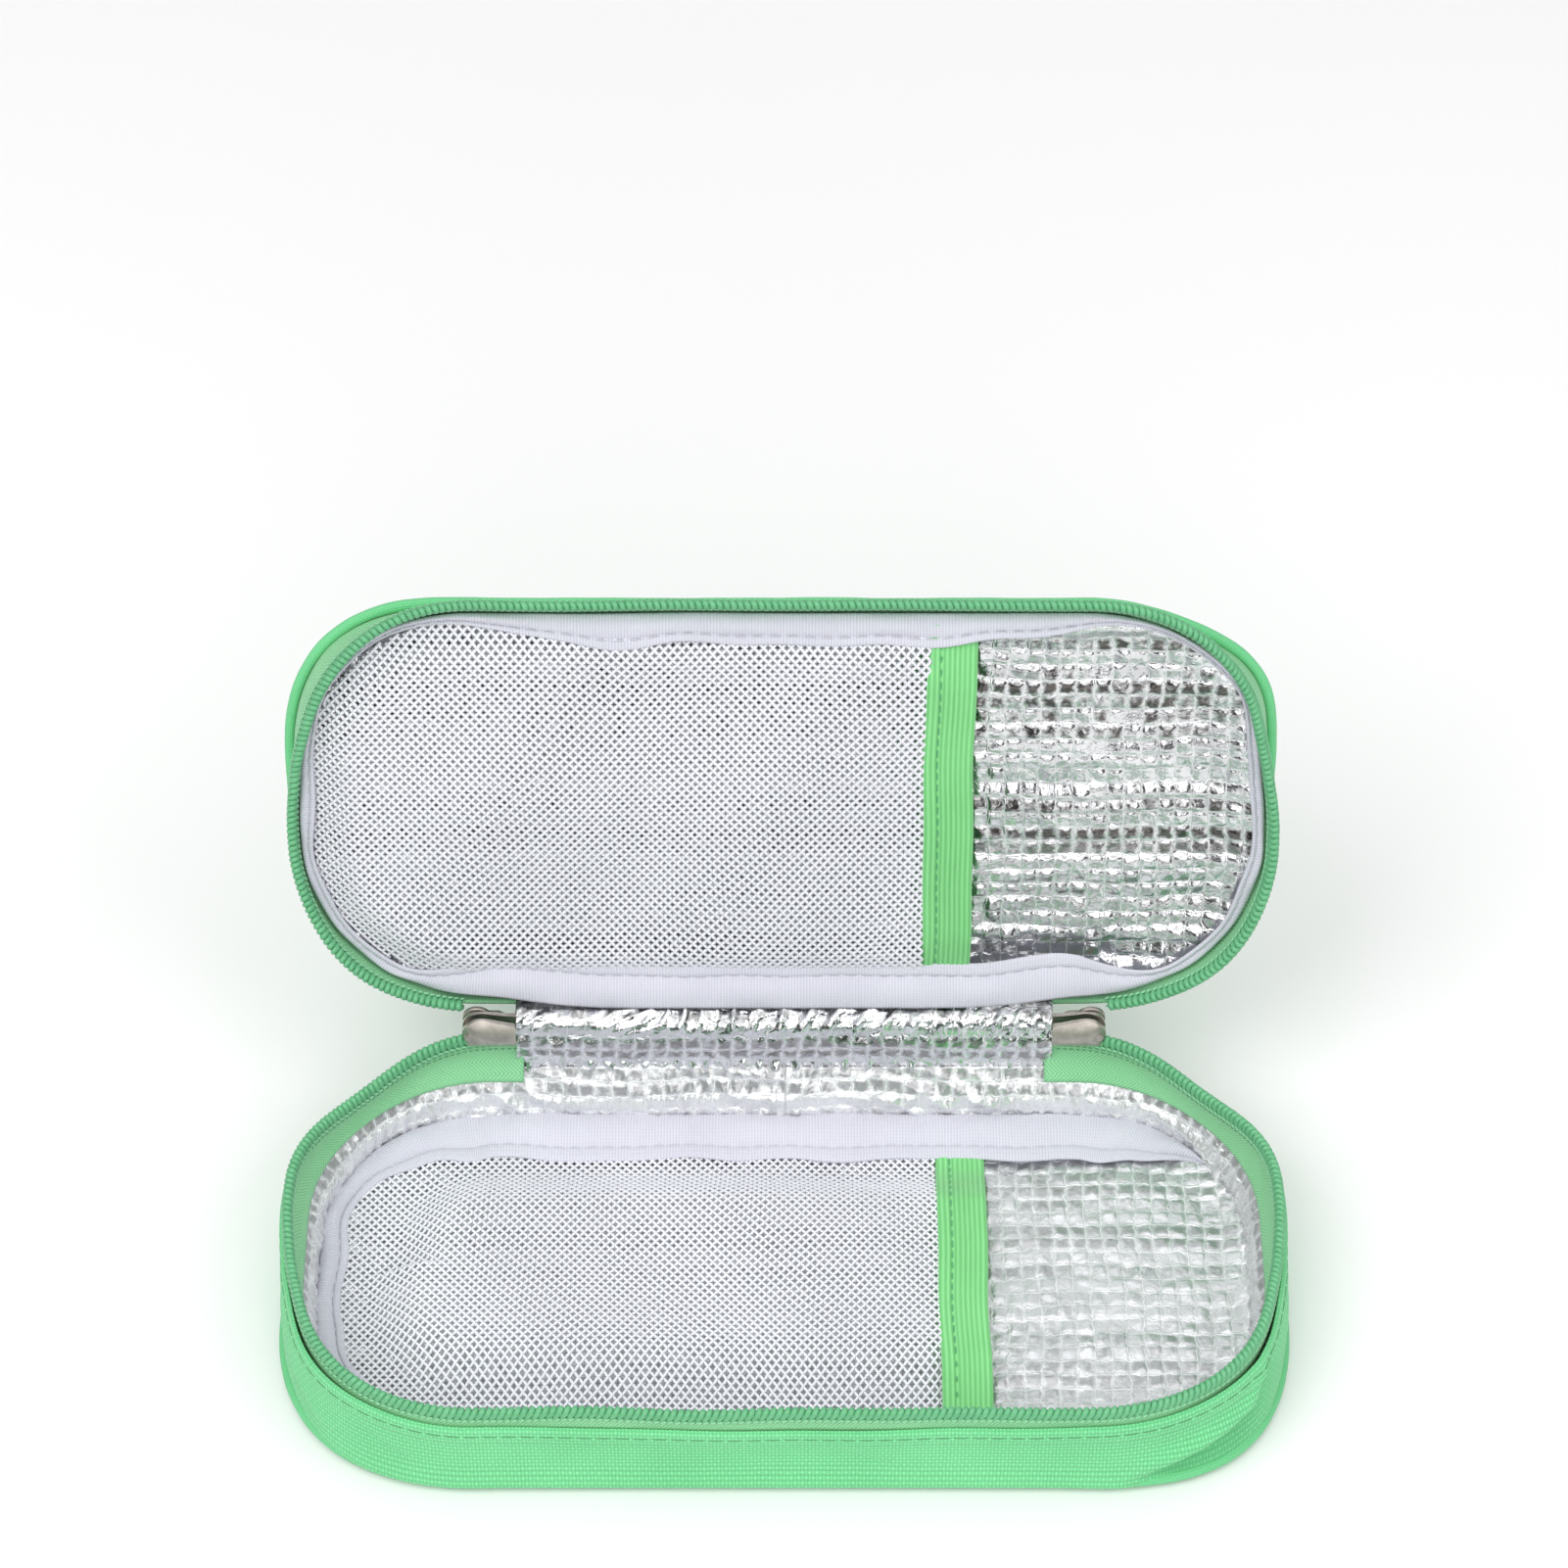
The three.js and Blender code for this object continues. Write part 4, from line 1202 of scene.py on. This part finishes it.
TAPE_DOT = 0.8, 0.34, 0.26
DOT_ROWS = 22.2, 21.0
dots = Shape()
for row_z in DOT_ROWS:
    on_tape = np.interp(-row_z, -BASE_TAPE[:, 1], BASE_TAPE[:, 0]) - 0.4
    line = on_tape, row_z, rim_push, rim_lift
    dots.join(outline_stitches(BASE_START, -BASE_START, TOOTH, line, TAPE_DOT, -1))
make("base_tape_dots", dots, GREEN_THREAD, "base")

# Lid, in the closed case's coordinates, then turned open.

LID_PIPING_Z = middle_z("lid_piping")
TOP_LO, TOP_HI = node_box("top_panel")
TOP_EDGE_Z = TOP_LO[2] + 1.2
CROWN = TOP_HI[2] - TOP_EDGE_Z

LEAN = 5.7  # how far the front edge of the open lid's panel leans in


def lid_lean(s):
    a = np.abs(s)
    side = np.where(s < 0, 0.8, 2.2) * ease(a, 96, 122) * (1 - ease(a, 140, 180))
    return LEAN * np.where(s < 0, 1 - ease(a, 58, 98), 1 - ease(a, 72, 112)) + side


def lean_in(s):
    return -lid_lean(s)


def lid_flare(s, z):
    """The lid's side slopes out from the leaning panel to the zipper."""
    low = ease(LID_TAPE_HI[2] - z, -1, LID_TAPE_HI[2] - LID_COIL_LO[2])
    sway = rim_sway(s) + RIM_FLARE * front(s) - end_pull(s) - 1.6 * corner_pull(s) - hump(s, 117, 13)
    return sway * low - lid_lean(s) * (1 - low)


def lid_lift(s, z):
    rise = 0.8 * hump(np.abs(s), BACK_OUT, 9)
    lift = ripple(s, 0.25, (6, 10, 15), 82) - SLACK_DIP * corner_slack(s) + rise
    return lift * ease(LID_TAPE_HI[2] - z, 0, 6)


piping("lid_piping_cord", LID_PIPING_Z, -0.6, "lid", ["lid_piping"], lean_in, 0.35)


def top_shift(x, y, share):
    crown = CROWN * (1 - (1 - share) ** 2.4) if share > 0 else 0.0
    dent = 0.55 * hump(x, 10, 9) * hump(y, -31, 4) + 0.35 * hump(x + y, -16, 4) * hump(y, -27, 9)
    slack = 0.18 * np.sin(x / 17 + 0.5) * np.sin(y / 12 + 0.3)
    return crown + (slack - dent) * ease(share, 0.03, 0.25)


TOP_SHARES = (0.015, 0.04, 0.08, 0.13, 0.2, 0.28, 0.36, 0.45, 0.55, 0.65, 0.75, 0.85, 0.93, 1.0)
top_profile = pad_profile(TOP_LO[2], TOP_EDGE_Z, 0.6, TOP_SHARES)
top = panel(PANEL_EDGE, top_profile, TOP_POINTS, top_shift, lean_in)
top = make("top_cloth", top, OXFORD, "lid", ["top_panel"], merge=MERGE)

lid_foam = pad_profile(node_box("lid_foam")[0][2], TOP_LO[2] - 0.35, FOAM_ROUND, INNER_SHARES)
lid_foam = panel(FOAM_OUTER, lid_foam, PAD_POINTS, push=lambda s: -0.4 - lid_lean(s))
lid_pad = make("lid_pad", lid_foam, FOAM, "lid", ["lid_foam"], merge=MERGE)

LID_FOIL_Z = node_box("lid_lining")[0][2]
LID_FOIL_EDGE = 3.5


def lid_foil_edge(s):
    return LID_FOIL_EDGE - lid_flare(s, np.full(np.shape(s), LID_FOIL_Z - 2.3))


def lid_foil_height(x, y):
    height, u, v = emboss(x, y, 91, puff=0.42, tilt=0.5, row_tilt=0.5)
    slope = 2.4 * hump(distance(x, y) + lid_foil_edge(arc_length(x, y)), 0, 6.0)
    soft = undulation(x, y, 0.27, 92) + crinkle(x, y, 0.035, 93, BROAD_CREASES)
    return LID_FOIL_Z + 0.2 - height - soft - slope, u, v


lid_lining = foil_sheet(
    "lid_foil", lid_foil_edge, lid_foil_height, FOIL, "lid", ["lid_lining"], LID_FOIL_Z + 1.0
)

lid_tape = [(CHAIN_LINE, z) for z in np.linspace(LID_TAPE_LO[2] - 0.6, LID_PIPING_Z - 0.4, 12)]
lid_tape = band(wall_s, ribbon(lid_tape, TAPE_THICK), lid_flare, lid_lift)
make("lid_tape_cloth", lid_tape, TAPE, "lid", ["lid_zipper_tape"])

LID_COIL_GAP = math.radians(8.6)  # the lid's coil ends before the back corner does
LID_START = -BACK_OUT + CORNER_RADIUS * LID_COIL_GAP
chain("lid", LID_START, LID_COIL_HI[2], -1, lid_flare, lid_lift)


def lid_binding():
    """A strip all round the lid's inside edge: wide along the hinge, narrow at the front corners."""
    s = ring(LID_BINDING_POINTS)
    a = np.abs(s)
    hinge = ease(a, BACK_OUT - 24, BACK_OUT + 6)
    middle = 1 - ease(a, 34, 74)
    deep = ease(a, 100, 128)
    outer_z = 32.3 - 4.4 * hinge - 0.7 * ease(a, BACK_OUT + 8, BACK_OUT + 30)
    wide = 1.3 + 4.6 * middle + 1.4 * deep + 6.3 * hinge
    fall = 0.7 + 1.7 * middle + 0.6 * deep - 4.5 * hinge
    outer = (-3.0 - 2.1 * hump(a, BACK_OUT, 11) + lid_flare(s, outer_z) * (1 - hinge), outer_z)
    uneven = 1 + ripple(s, 0.2, (11, 17, 26), 101) * (1 - 0.75 * hinge)
    inner = (outer[0] - wide * uneven, outer_z - fall + ripple(s, 0.3, (9, 15, 28), 102))
    return sewn_strip(s, outer, inner, -1, 0.9, True)


make_sewn(
    ("lid_binding_tape", "lid_binding_stitches"), lid_binding(), (BINDING, WHITE_THREAD),
    "lid", "lid_binding",
)

LID_BAND_LO, LID_BAND_HI = node_box("lid_pocket_elastic")
LID_NET_Z = middle_z("lid_mesh_pocket")


def lid_net_level(x, y):
    inset = -distance(x, y)
    sink = 3.2 * ease(15 - inset, 0, 10)
    folds = 0.5 * np.sin(y / 7.5 + 0.015 * x + 0.5 * np.sin(x / 27)) + 0.35 * np.sin(x / 19 - y / 12)
    return LID_NET_Z + sink + folds * ease(inset, 8, 20) * ease(LID_BAND_LO[0] - x, 0, 14)


lid_net = net(LID_NET_EDGE, LID_BAND_LO[0] + 0.5, lid_net_level, 111, 0.4)
lid_net = make("lid_net", lid_net, NET, "lid", ["lid_mesh_pocket"])
LID_ENDS = -HALF_DEPTH + 6.6, HALF_DEPTH - 6.6
make_sewn(
    ("lid_elastic", "lid_elastic_stitches"),
    elastic(LID_BAND_LO, LID_BAND_HI, LID_ENDS, (28, 42, 28, 42), 2.6, -1),
    (ELASTIC, GREEN_THREAD), "lid", "lid_pocket_elastic",
)

# The hinge strip: cloth outside and foil inside, each one piece that bends between base and lid.

HINGE_Y, HINGE_Z = HINGE_POINT.y / MM, HINGE_POINT.z / MM
STRIP_TURN = np.array(LID_TURN)[1:3, 1:3]
STRIP_FOOT = node_box("back_panel")[0][2]
STRIP_TOP = node_box("lid_back_panel")[1][2]
FOIL_FOOT = node_box("base_hinge_lining")[0][2]


def hinge_path(out, foot, top, bend, count):
    """Points (y, z) up the back of the base, round the fold and along the back of the open lid."""
    y = HALF_DEPTH + out
    before = np.array([y, HINGE_Z - bend])
    lid_points = np.array([[y, HINGE_Z + bend], [y, top]]) - (HINGE_Y, HINGE_Z)
    after, end = lid_points @ STRIP_TURN.T + (HINGE_Y, HINGE_Z)
    heading = (end - after) / np.linalg.norm(end - after)
    corner = after + heading * (y - after[0]) / heading[0]
    t = np.linspace(0, 1, 13)[:, None]
    fold = (1 - t) ** 2 * before + 2 * t * (1 - t) * corner + t**2 * after
    return resample(np.concatenate([[[y, foot]], fold, [end]]), count)


def strip(path, at, thickness, half, step, height):
    """A strip across the back, with its own relief on the inner side."""
    tangent = unit(np.gradient(path, axis=0))
    inward = np.stack([-tangent[:, 1], tangent[:, 0]], 1)
    x = np.arange(-half, half + step / 2, step)
    a, b = np.meshgrid(x, at, indexing="ij")
    relief, u, v = height(a, b)
    inner = path[None] + inward[None] * (thickness / 2 + relief[..., None])
    outer = (path - inward * thickness / 2)[::-1]
    rows = np.concatenate([inner, np.repeat(outer[None], len(x), 0)], 1)
    points = np.concatenate([np.repeat(x[:, None, None], rows.shape[1], 1), rows], 2)
    u, v = (np.concatenate([w, w[:, ::-1]], 1) for w in (u, v))
    return Shape().grid(points, u, v, closed=True, caps=True)


def foil_relief(a, b):
    height, u, v = emboss(a, b, 121, puff=0.16, tilt=0.4, row_tilt=0.4)
    edge = ease(b, 0, 2) * ease(b[:, -1:] - b, 0, 2)
    level = b + 0.6 * np.sin(a / 17)
    bands = 0.2 + hump(level, 4.0, 3.4) + 1.2 * hump(level, 17.0, 3.2)
    folds = undulation(a, 1.5 * b, 0.3, 122) + crinkle(a, b, 0.42, 123, FINE_CREASES) * bands
    return (height + folds) * edge, u, v


def cloth_relief(a, b):
    return 0.05 * np.sin(a / 9) * np.sin(b / 5), a, b


BEND = 2.4  # how far before and after the hinge's line the fold begins and ends
cloth_path, cloth_at = hinge_path(-0.6, STRIP_FOOT - 0.3, STRIP_TOP + 0.4, BEND, 60)
hinge_cloth = make(
    "hinge_cloth", strip(cloth_path, cloth_at, 1.0, HINGE_HALF + 0.3, 1.0, cloth_relief), OXFORD,
    nodes=["back_panel", "lid_back_panel"],
)
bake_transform(hinge_cloth)
foil_path, foil_at = hinge_path(-2.3, FOIL_FOOT, STRIP_TOP, BEND, 66)
hinge_foil = make(
    "hinge_foil", strip(foil_path, foil_at, 0.3, HINGE_HALF + 2.0, FOIL_STEP, foil_relief), CREASED,
    nodes=["base_hinge_lining", "lid_hinge_lining"],
)
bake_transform(hinge_foil)

# Sliders and pulls.

SHARP_EDGE = math.radians(32)
SAME_POINT = 0.002
ROD_SIDES = 12


def flat_plate(outlines, thickness, bevel):
    """A plate with rounded edges, cut to outlines in x and z, with y 0 at its middle.

    The first outline is its outside, and the rest are holes.
    """
    curve = bpy.data.curves.new("plate", "CURVE")
    curve.dimensions = "2D"
    curve.fill_mode = "BOTH"
    curve.extrude = (thickness / 2 - bevel) * MM
    curve.bevel_depth = bevel * MM
    curve.bevel_resolution = 2
    curve.offset = -bevel * MM
    for points in outlines:
        spline = curve.splines.new("POLY")
        spline.points.add(len(points) - 1)
        spline.use_cyclic_u = True
        for point, (x, z) in zip(spline.points, points):
            point.co = (x * MM, z * MM, 0, 1)
    holder = bpy.data.objects.new("plate", curve)
    bpy.context.scene.collection.objects.link(holder)
    mesh = bpy.data.meshes.new_from_object(holder.evaluated_get(bpy.context.evaluated_depsgraph_get()))
    bpy.data.objects.remove(holder)
    bpy.data.curves.remove(curve)
    mesh.transform(Matrix.Rotation(math.pi / 2, 4, "X"))
    return mesh


def rod(points, radius):
    """A round bar through points, as a mesh."""
    return shape_mesh(tube(np.array(points, float), radius, ROD_SIDES))


def shape_mesh(shape):
    mesh = bpy.data.meshes.new("part")
    faces = [row.tolist() for rows in shape.faces for row in rows]
    mesh.from_pydata(np.concatenate(shape.verts) * MM, [], faces)
    return mesh


def metal_piece(name, meshes, body, node, flip):
    """Joins meshes into one metal piece with flat UVs in mm. flip mirrors it for the left side."""
    bm = bmesh.new()
    for mesh in meshes:
        bm.from_mesh(mesh)
        bpy.data.meshes.remove(mesh)
    if flip:
        bmesh.ops.scale(bm, vec=(-1, 1, 1), verts=bm.verts)
    bmesh.ops.remove_doubles(bm, verts=bm.verts, dist=SAME_POINT * MM)
    layer = bm.loops.layers.uv.new("UVMap")
    for face in bm.faces:
        for loop in face.loops:
            loop[layer].uv = (loop.vert.co.x / MM, loop.vert.co.z / MM)
    mesh = bpy.data.meshes.new(name)
    bm.to_mesh(mesh)
    bm.free()
    smooth_by_angle(finish_piece(name, mesh, METAL, body, [node]))


def smooth_by_angle(piece):
    """Keeps the flats of a plate flat and its rounded edges smooth."""
    bm = bmesh.new()
    bm.from_mesh(piece.data)
    for edge in bm.edges:
        edge.smooth = len(edge.link_faces) != 2 or edge.calc_face_angle(0) < SHARP_EDGE
    bm.to_mesh(piece.data)
    bm.free()


SLIDER_LO, SLIDER_HI = node_box("right_slider_body")
PULL_LO, PULL_HI = node_box("right_pull")
SLIDER_X, _, SLIDER_Z = (SLIDER_LO + SLIDER_HI) / 2
SLIDER_HALF, _, SLIDER_TALL = (SLIDER_HI - SLIDER_LO) / 2
PLATE = 1.0
INNER_Y = SLIDER_LO[1] + PLATE / 2
OUTER_Y = PULL_LO[1] - 0.3 - PLATE / 2
CROWN_Y = SLIDER_HI[1] - 0.35


def circle(x, z, radius, start=0.0, end=TAU, count=28, last=False):
    angles = np.linspace(start, end, count, endpoint=last)
    return [(x + radius * math.cos(a), z + radius * math.sin(a)) for a in angles]


def dished_plate(y, bend, thickness):
    """A slider's plate, with edges that bend in.

    It is flat at the end by the hinge, wider to its shoulders, and has a round nose.
    """
    nose = SLIDER_HALF - SLIDER_TALL
    turn = np.linspace(0, math.pi / 2, 9)
    end_x = -SLIDER_HALF, -SLIDER_HALF + 0.15, -SLIDER_HALF + 0.5
    x = np.concatenate([end_x, np.linspace(-4, nose - 0.6, 6), nose + SLIDER_TALL * np.sin(turn)])
    shoulders = np.linspace(3.1, SLIDER_TALL - 0.04, 6)
    tall = np.concatenate([(2.55, 2.85, 3.02), shoulders, SLIDER_TALL * np.cos(turn)])
    tall = np.maximum(tall, 0.02)
    share = np.linspace(-1, 1, 17)
    to_side = np.abs(share)[None, :] * (tall / SLIDER_TALL)[:, None]
    edge = np.maximum(to_side, np.clip((x - nose) / SLIDER_TALL, 0, 1)[:, None])
    face_y = y + bend * edge**2
    far_y = face_y + thickness * np.sqrt(np.clip(1 - 0.75 * edge**6, 0, 1))
    section_x = np.repeat(x[:, None], 2 * len(share), 1)
    section_z = np.concatenate([share, share[::-1]])[None, :] * tall[:, None]
    section_y = np.concatenate([face_y, far_y[:, ::-1]], 1)
    points = np.stack([SLIDER_X + section_x, section_y, SLIDER_Z + section_z], -1)
    zero = np.zeros(points.shape[:2])
    return shape_mesh(Shape().grid(points, zero, zero, closed=True, caps=True))


NECK_RADIUS, CROWN_RADIUS, CROWN_HALF = 0.8, 0.62, 2.6


def slider(side, flip):
    """Two dished plates on a neck, with the crown that holds the pull."""
    neck_x = SLIDER_X + SLIDER_HALF - 1.4
    neck = [(neck_x, y, SLIDER_Z) for y in (INNER_Y, (INNER_Y + OUTER_Y) / 2, OUTER_Y)]
    half = CROWN_HALF
    arch = [(-half, OUTER_Y), (-half, CROWN_Y - 0.9), (-half + 0.25, CROWN_Y - 0.3), (-half + 0.9, CROWN_Y)]
    arch = arch + [(0.0, CROWN_Y + 0.05)] + [(-x, y) for x, y in arch[::-1]]
    meshes = [
        dished_plate(INNER_Y - PLATE / 2, 1.9, PLATE),
        dished_plate(OUTER_Y + PLATE / 2, -1.2, -PLATE),
        rod(neck, NECK_RADIUS),
        rod([(SLIDER_X + x, y, SLIDER_Z) for x, y in arch], CROWN_RADIUS),
    ]
    metal_piece(side + "_slider_metal", meshes, side + "_slider", side + "_slider_body", flip)


PULL_HALF = (PULL_HI[0] - PULL_LO[0]) / 2
PULL_X, PULL_Y, _ = (PULL_HI + PULL_LO) / 2
PULL_THICK = PULL_HI[1] - PULL_LO[1]
PULL_DROP = PULL_HI[2] - PULL_LO[2] - 2 * PULL_HALF
PULL_TOP = PULL_HI[2] - PULL_HALF

WAIST, EYE_RADIUS, OVAL_RADIUS, OVAL_LONG, PULL_BEVEL = 2.05, 1.7, 1.35, 2.6, 0.26


def pull(side, flip):
    """A flat pull: an eye round the crown's post, a waist, and a tongue with an oval hole."""
    tip = -PULL_DROP
    left = [
        (-PULL_HALF, 0.0), (-PULL_HALF + 0.25, -2.2), (-WAIST, -5.2), (-WAIST - 0.25, -8.0),
        (-PULL_HALF, -11.0),
    ]
    outside = circle(0, 0, PULL_HALF, 0, math.pi, 20, True) + left[1:]
    outside = outside + circle(0, tip, PULL_HALF, math.pi, TAU, 20, True)
    outside = outside + [(-x, z) for x, z in left[::-1]][:-1]
    eye = circle(0, 0, EYE_RADIUS, count=24)
    oval = circle(0, tip + OVAL_LONG, OVAL_RADIUS, 0, math.pi, 14, True)
    oval = oval + circle(0, tip, OVAL_RADIUS, math.pi, TAU, 14, True)
    plate = flat_plate([outside, eye, oval], PULL_THICK, PULL_BEVEL)
    plate.transform(Matrix.Translation(Vector((PULL_X, PULL_Y, PULL_TOP)) * MM))
    metal_piece(side + "_pull_metal", [plate], side + "_pull", side + "_pull", flip)


for metal in (slider, pull):
    metal("right", False)
    metal("left", True)

# Floor, light and camera.

FLOOR_SIZE = 6.0
FLOOR_DROP = 0.0004
floor_mesh = bpy.data.meshes.new("floor")
corner = FLOOR_SIZE / 2
floor_corners = (-corner, -corner), (corner, -corner), (corner, corner), (-corner, corner)
floor_mesh.from_pydata([(x, y, -FLOOR_DROP) for x, y in floor_corners], [], [(0, 1, 2, 3)])
floor = bpy.data.objects.new("floor", floor_mesh)
bpy.context.scene.collection.objects.link(floor)
paper = Finish("paper", roughness=0.9)
paper.colour(paper.mix(paper.noise(3.0, 2.0, "Object"), (0.9, 0.9, 0.9), (0.93, 0.93, 0.93)))
floor_mesh.materials.append(paper.material)

world = bpy.data.worlds.new("studio")
bpy.context.scene.world = world
world.use_nodes = True
sky = world.node_tree
backdrop = sky.nodes["Background"]
direction = sky.nodes.new("ShaderNodeTexCoord")
split = sky.nodes.new("ShaderNodeSeparateXYZ")
sky.links.new(direction.outputs["Generated"], split.inputs[0])
ramp = sky.nodes.new("ShaderNodeValToRGB")
sky.links.new(split.outputs["Z"], ramp.inputs[0])
sky.links.new(ramp.outputs[0], backdrop.inputs["Color"])
SKY_STOPS = ((0.0, 0.04), (0.2, 0.06), (0.42, 0.35), (0.7, 0.75), (1.0, 0.9))
stops = ramp.color_ramp.elements
for position, level in SKY_STOPS[1:-1]:
    stops.new(position)
for stop, (position, level) in zip(stops, SKY_STOPS):
    stop.position = position
    stop.color = (level, level, level, 1)
backdrop.inputs["Strength"].default_value = 1.0


def softbox(name, location, target, size, power):
    light = bpy.data.lights.new(name, "AREA")
    light.shape = "SQUARE"
    light.size = size
    light.energy = power
    lamp = bpy.data.objects.new(name, light)
    lamp.location = location
    lamp.rotation_euler = (Vector(target) - Vector(location)).to_track_quat("-Z", "Y").to_euler()
    bpy.context.scene.collection.objects.link(lamp)


softbox("key", (-0.7, -0.6, 1.25), (0, 0, 0.05), 0.9, 9.0)
softbox("fill", (0.85, -0.55, 1.05), (0, 0, 0.05), 0.9, 4.6)
softbox("top", (0.0, 0.2, 1.55), (0, 0.02, 0.05), 1.0, 2.0)
softbox("front", (0.1, -1.5, 0.8), (0, 0.03, 0.06), 1.1, 6.2)

# The camera stands where the photograph was taken from, aimed a little above the case.
TARGET = Vector((0, 0, 0.02))
RAY_ELEVATION = math.radians(51.664)
CAMERA_PITCH = math.radians(46.244)
CAMERA_DISTANCE = 0.93859
IMAGE_SIZE = 1601
FOCAL_PIXELS = 4821.9
camera_data = bpy.data.cameras.new("camera")
camera_data.sensor_width = 36.0
camera_data.lens = camera_data.sensor_width * FOCAL_PIXELS / IMAGE_SIZE
camera = bpy.data.objects.new("camera", camera_data)
camera.location = TARGET + CAMERA_DISTANCE * Vector((0, -math.cos(RAY_ELEVATION), math.sin(RAY_ELEVATION)))
camera.rotation_euler = (math.pi / 2 - CAMERA_PITCH, 0, 0)
bpy.context.scene.collection.objects.link(camera)
bpy.context.scene.camera = camera
bpy.context.scene.view_settings.view_transform = "Standard"

bpy.context.view_layer.update()
